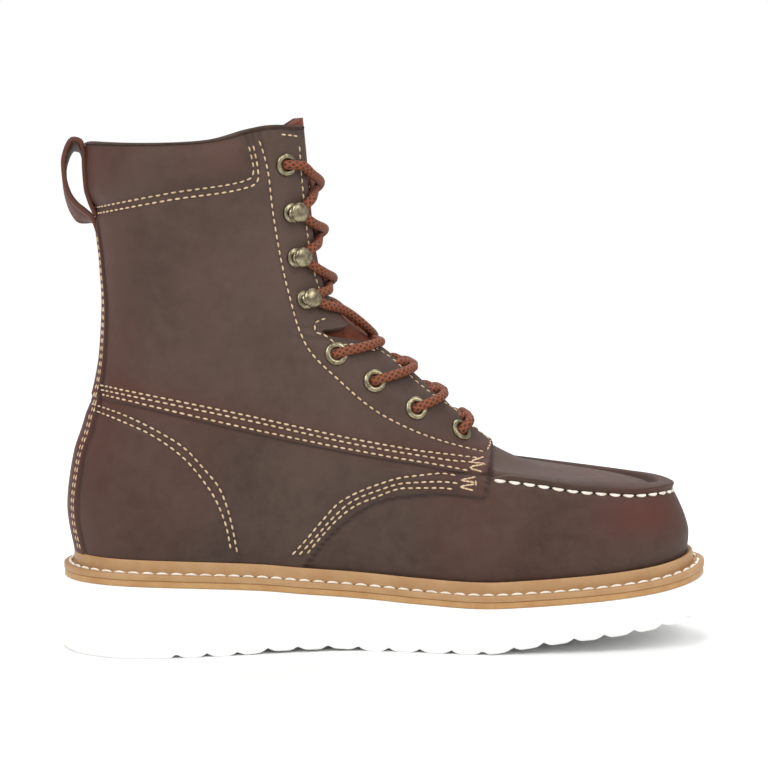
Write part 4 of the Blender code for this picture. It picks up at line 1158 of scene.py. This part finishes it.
def build_lace():
    """Two strands that cross the tongue from each eyelet or hook to the next one opposite."""
    rests = list(EYELETS[:4]) + list(HOOKS) + [EYELETS[4]]
    kinds = ["eyelet"] * 4 + ["hook"] * 3 + ["top"]
    paths = []
    for start_side in (-1, 1):
        for k in range(len(rests) - 1):
            low, high = rests[k], rests[k + 1]
            a, b = start_side, -start_side
            middle = (low.level + high.level) / 2
            rise = (min(middle, NOTCH_FOOT) if kinds[k] == "eyelet" else middle) - low.level
            at_notch = kinds[k] == "eyelet" and kinds[k + 1] == "hook"
            path = []
            if kinds[k] == "eyelet":
                path += [lifted(low.level, low.behind, a, -2.5),
                         lifted(low.level, low.behind - 0.3, a, 2.6),
                         lifted(low.level + 0.3 * rise, low.behind * 0.7, a, 5.0),
                         lifted(low.level + 0.65 * rise, low.behind * 0.3, a, 4.9)]
            else:
                path += [lifted(low.level - 0.02, low.behind - 1.4, a, 4.4),
                         lifted(low.level + 0.12, low.behind - 3.5, a, 4.8)]
            path.append(lifted(low.level + (0.9 if kinds[k] == "eyelet" else 0.5) * rise,
                               0.4, a, 4.2))
            path.append(crown(middle - (0.25 if at_notch else 0), 0.3 if a < 0 else 3.3))
            if kinds[k + 1] == "eyelet":
                path += [lifted(high.level - 0.16, -0.5, b, 1.2),
                         lifted(high.level - 0.1, 6.0, b, -3.6)]
            elif kinds[k + 1] == "hook":
                path += [lifted(high.level - 0.26, 0.4, b, 4.2),
                         lifted(high.level - 0.14, high.behind - 3.5, b, 4.8),
                         lifted(high.level - 0.02, high.behind - 1.4, b, 4.4)]
            else:
                path += [lifted(high.level - 0.2, 0.4, b, 4.2),
                         lifted(high.level - 0.05, high.behind * 0.5, b, 5.2),
                         lifted(high.level, high.behind - 0.3, b, 3.0),
                         lifted(high.level, high.behind, b, -2.5)]
            paths.append(path)
    piece = sweep("braided_lace", paths, LACE / 2, lace_cloth, LACE_SIDES,
                  LACE_STEP)
    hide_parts("lace")


def build_loop():
    """The pull loop: a strip with turned edges, folded on itself behind the collar."""
    path = np.array(LOOP_PATH)
    total = lengths(path)[-1]
    fine = np.linspace(0, total, 70)
    line = smooth_run(path, fine)
    tangent = np.gradient(line, axis=0)
    tangent /= np.linalg.norm(tangent, axis=1, keepdims=True)
    out = np.stack([-tangent[:, 1], tangent[:, 0]], axis=1)
    section = [(-7.5, -0.8), (-7.1, -1.1), (7.1, -1.1), (7.5, -0.8), (7.5, 0.8), (7.1, 1.1),
               (5.2, 1.15), (4.9, 0.95), (4.6, 1.15), (-4.6, 1.15), (-4.9, 0.95), (-5.2, 1.15),
               (-7.1, 1.1), (-7.5, 0.8), (-7.5, -0.8)]
    verts = []
    hangs = (LOOP_LEAN + LOOP_TWIST * (1 - ease(14, 34, fine))) * ease(1, 18, fine)
    hangs = hangs * (1 - ease(total - 22, total - 6, fine))
    for point, normal, hang in zip(line, out, hangs):
        for y, lift in section:
            spot = point + normal * lift + np.array([0, hang * (0.5 + y / 15)])
            verts.append((spot[0], y, spot[1]))
    count = len(section)
    faces = grid_faces(len(line), count)
    faces += [tuple(range(count - 1)), tuple((len(line) - 1) * count + k
                                             for k in range(count - 1))]
    burnish = 0.35 + 0.3 * waves(np.array(verts), 7, 41)
    piece = finish_mesh("pull_loop_strap", verts, faces, edge_leather,
                        {"burnish": np.clip(burnish, 0, 1), "pull_and_plug_light": np.zeros(len(verts)),
                         "edge": np.zeros(len(verts))})
    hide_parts("pull_loop")


build_lining()
build_tongue()
build_binding()
build_welt()
build_midsole()
build_outsole()
build_hardware()
build_lace()
build_loop()
build_seams()
build_moc_stitches()
build_welt_stitches()
insole = frame["nodes"]["insole"]
insole.data.materials.clear()
insole.data.materials.append(insole_cloth)

# Floor, light and camera

bpy.ops.mesh.primitive_plane_add(size=2.6, location=(0, 0, 0))
floor = bpy.context.object
floor.name = "floor"
# Painted studio board: a pale, dull ground that takes a soft shadow
floor_material, _, floor_shader, _ = new_material("pale_floor")
floor_shader.inputs["Base Color"].default_value = linear("#f4f4f4")
floor_shader.inputs["Roughness"].default_value = 0.7
floor.data.materials.append(floor_material)

Light = namedtuple("Light", "x y z size power")
for number, lamp in enumerate((Light(-0.9, -1.4, 1.8, 1.3, 28), Light(1.3, -1.2, 1.5, 1.1, 14),
                               Light(0.2, 1.0, 2.0, 1.6, 24))):
    data = bpy.data.lights.new(f"soft_box_{number}", "AREA")
    data.size = lamp.size
    data.energy = lamp.power
    light = bpy.data.objects.new(data.name, data)
    light.location = lamp[:3]
    light.rotation_euler = (Vector((0, 0, 0.1)) - Vector(lamp[:3])).to_track_quat(
        "-Z", "Y").to_euler()
    bpy.context.scene.collection.objects.link(light)
world = bpy.data.worlds.new("studio")
world.use_nodes = True
studio = world.node_tree
room = studio.nodes["Background"]
room.inputs[0].default_value = (1, 1, 1, 1)
room.inputs[1].default_value = 0.66
backdrop = node(studio, "ShaderNodeBackground", {0: (1, 1, 1, 1), 1: 1.0})
seen = node(studio, "ShaderNodeLightPath").outputs["Is Camera Ray"]
shown = node(studio, "ShaderNodeMixShader",
             {0: seen, 1: room.outputs[0], 2: backdrop.outputs[0]})
studio.links.new(shown.outputs[0], studio.nodes["World Output"].inputs["Surface"])
bpy.context.scene.world = world
bpy.context.scene.view_settings.view_transform = "Standard"

camera_data = bpy.data.cameras.new("camera")
camera_data.sensor_width = SENSOR_MM
camera_data.lens = FOCAL_PIXELS / IMAGE * SENSOR_MM
camera = bpy.data.objects.new("camera", camera_data)
bpy.context.scene.collection.objects.link(camera)
turn = Matrix((RIGHT, UP, -LOOK)).transposed().to_4x4()
camera.matrix_world = Matrix.Translation((EYE + ORIGIN) * MM) @ turn
bpy.context.scene.camera = camera
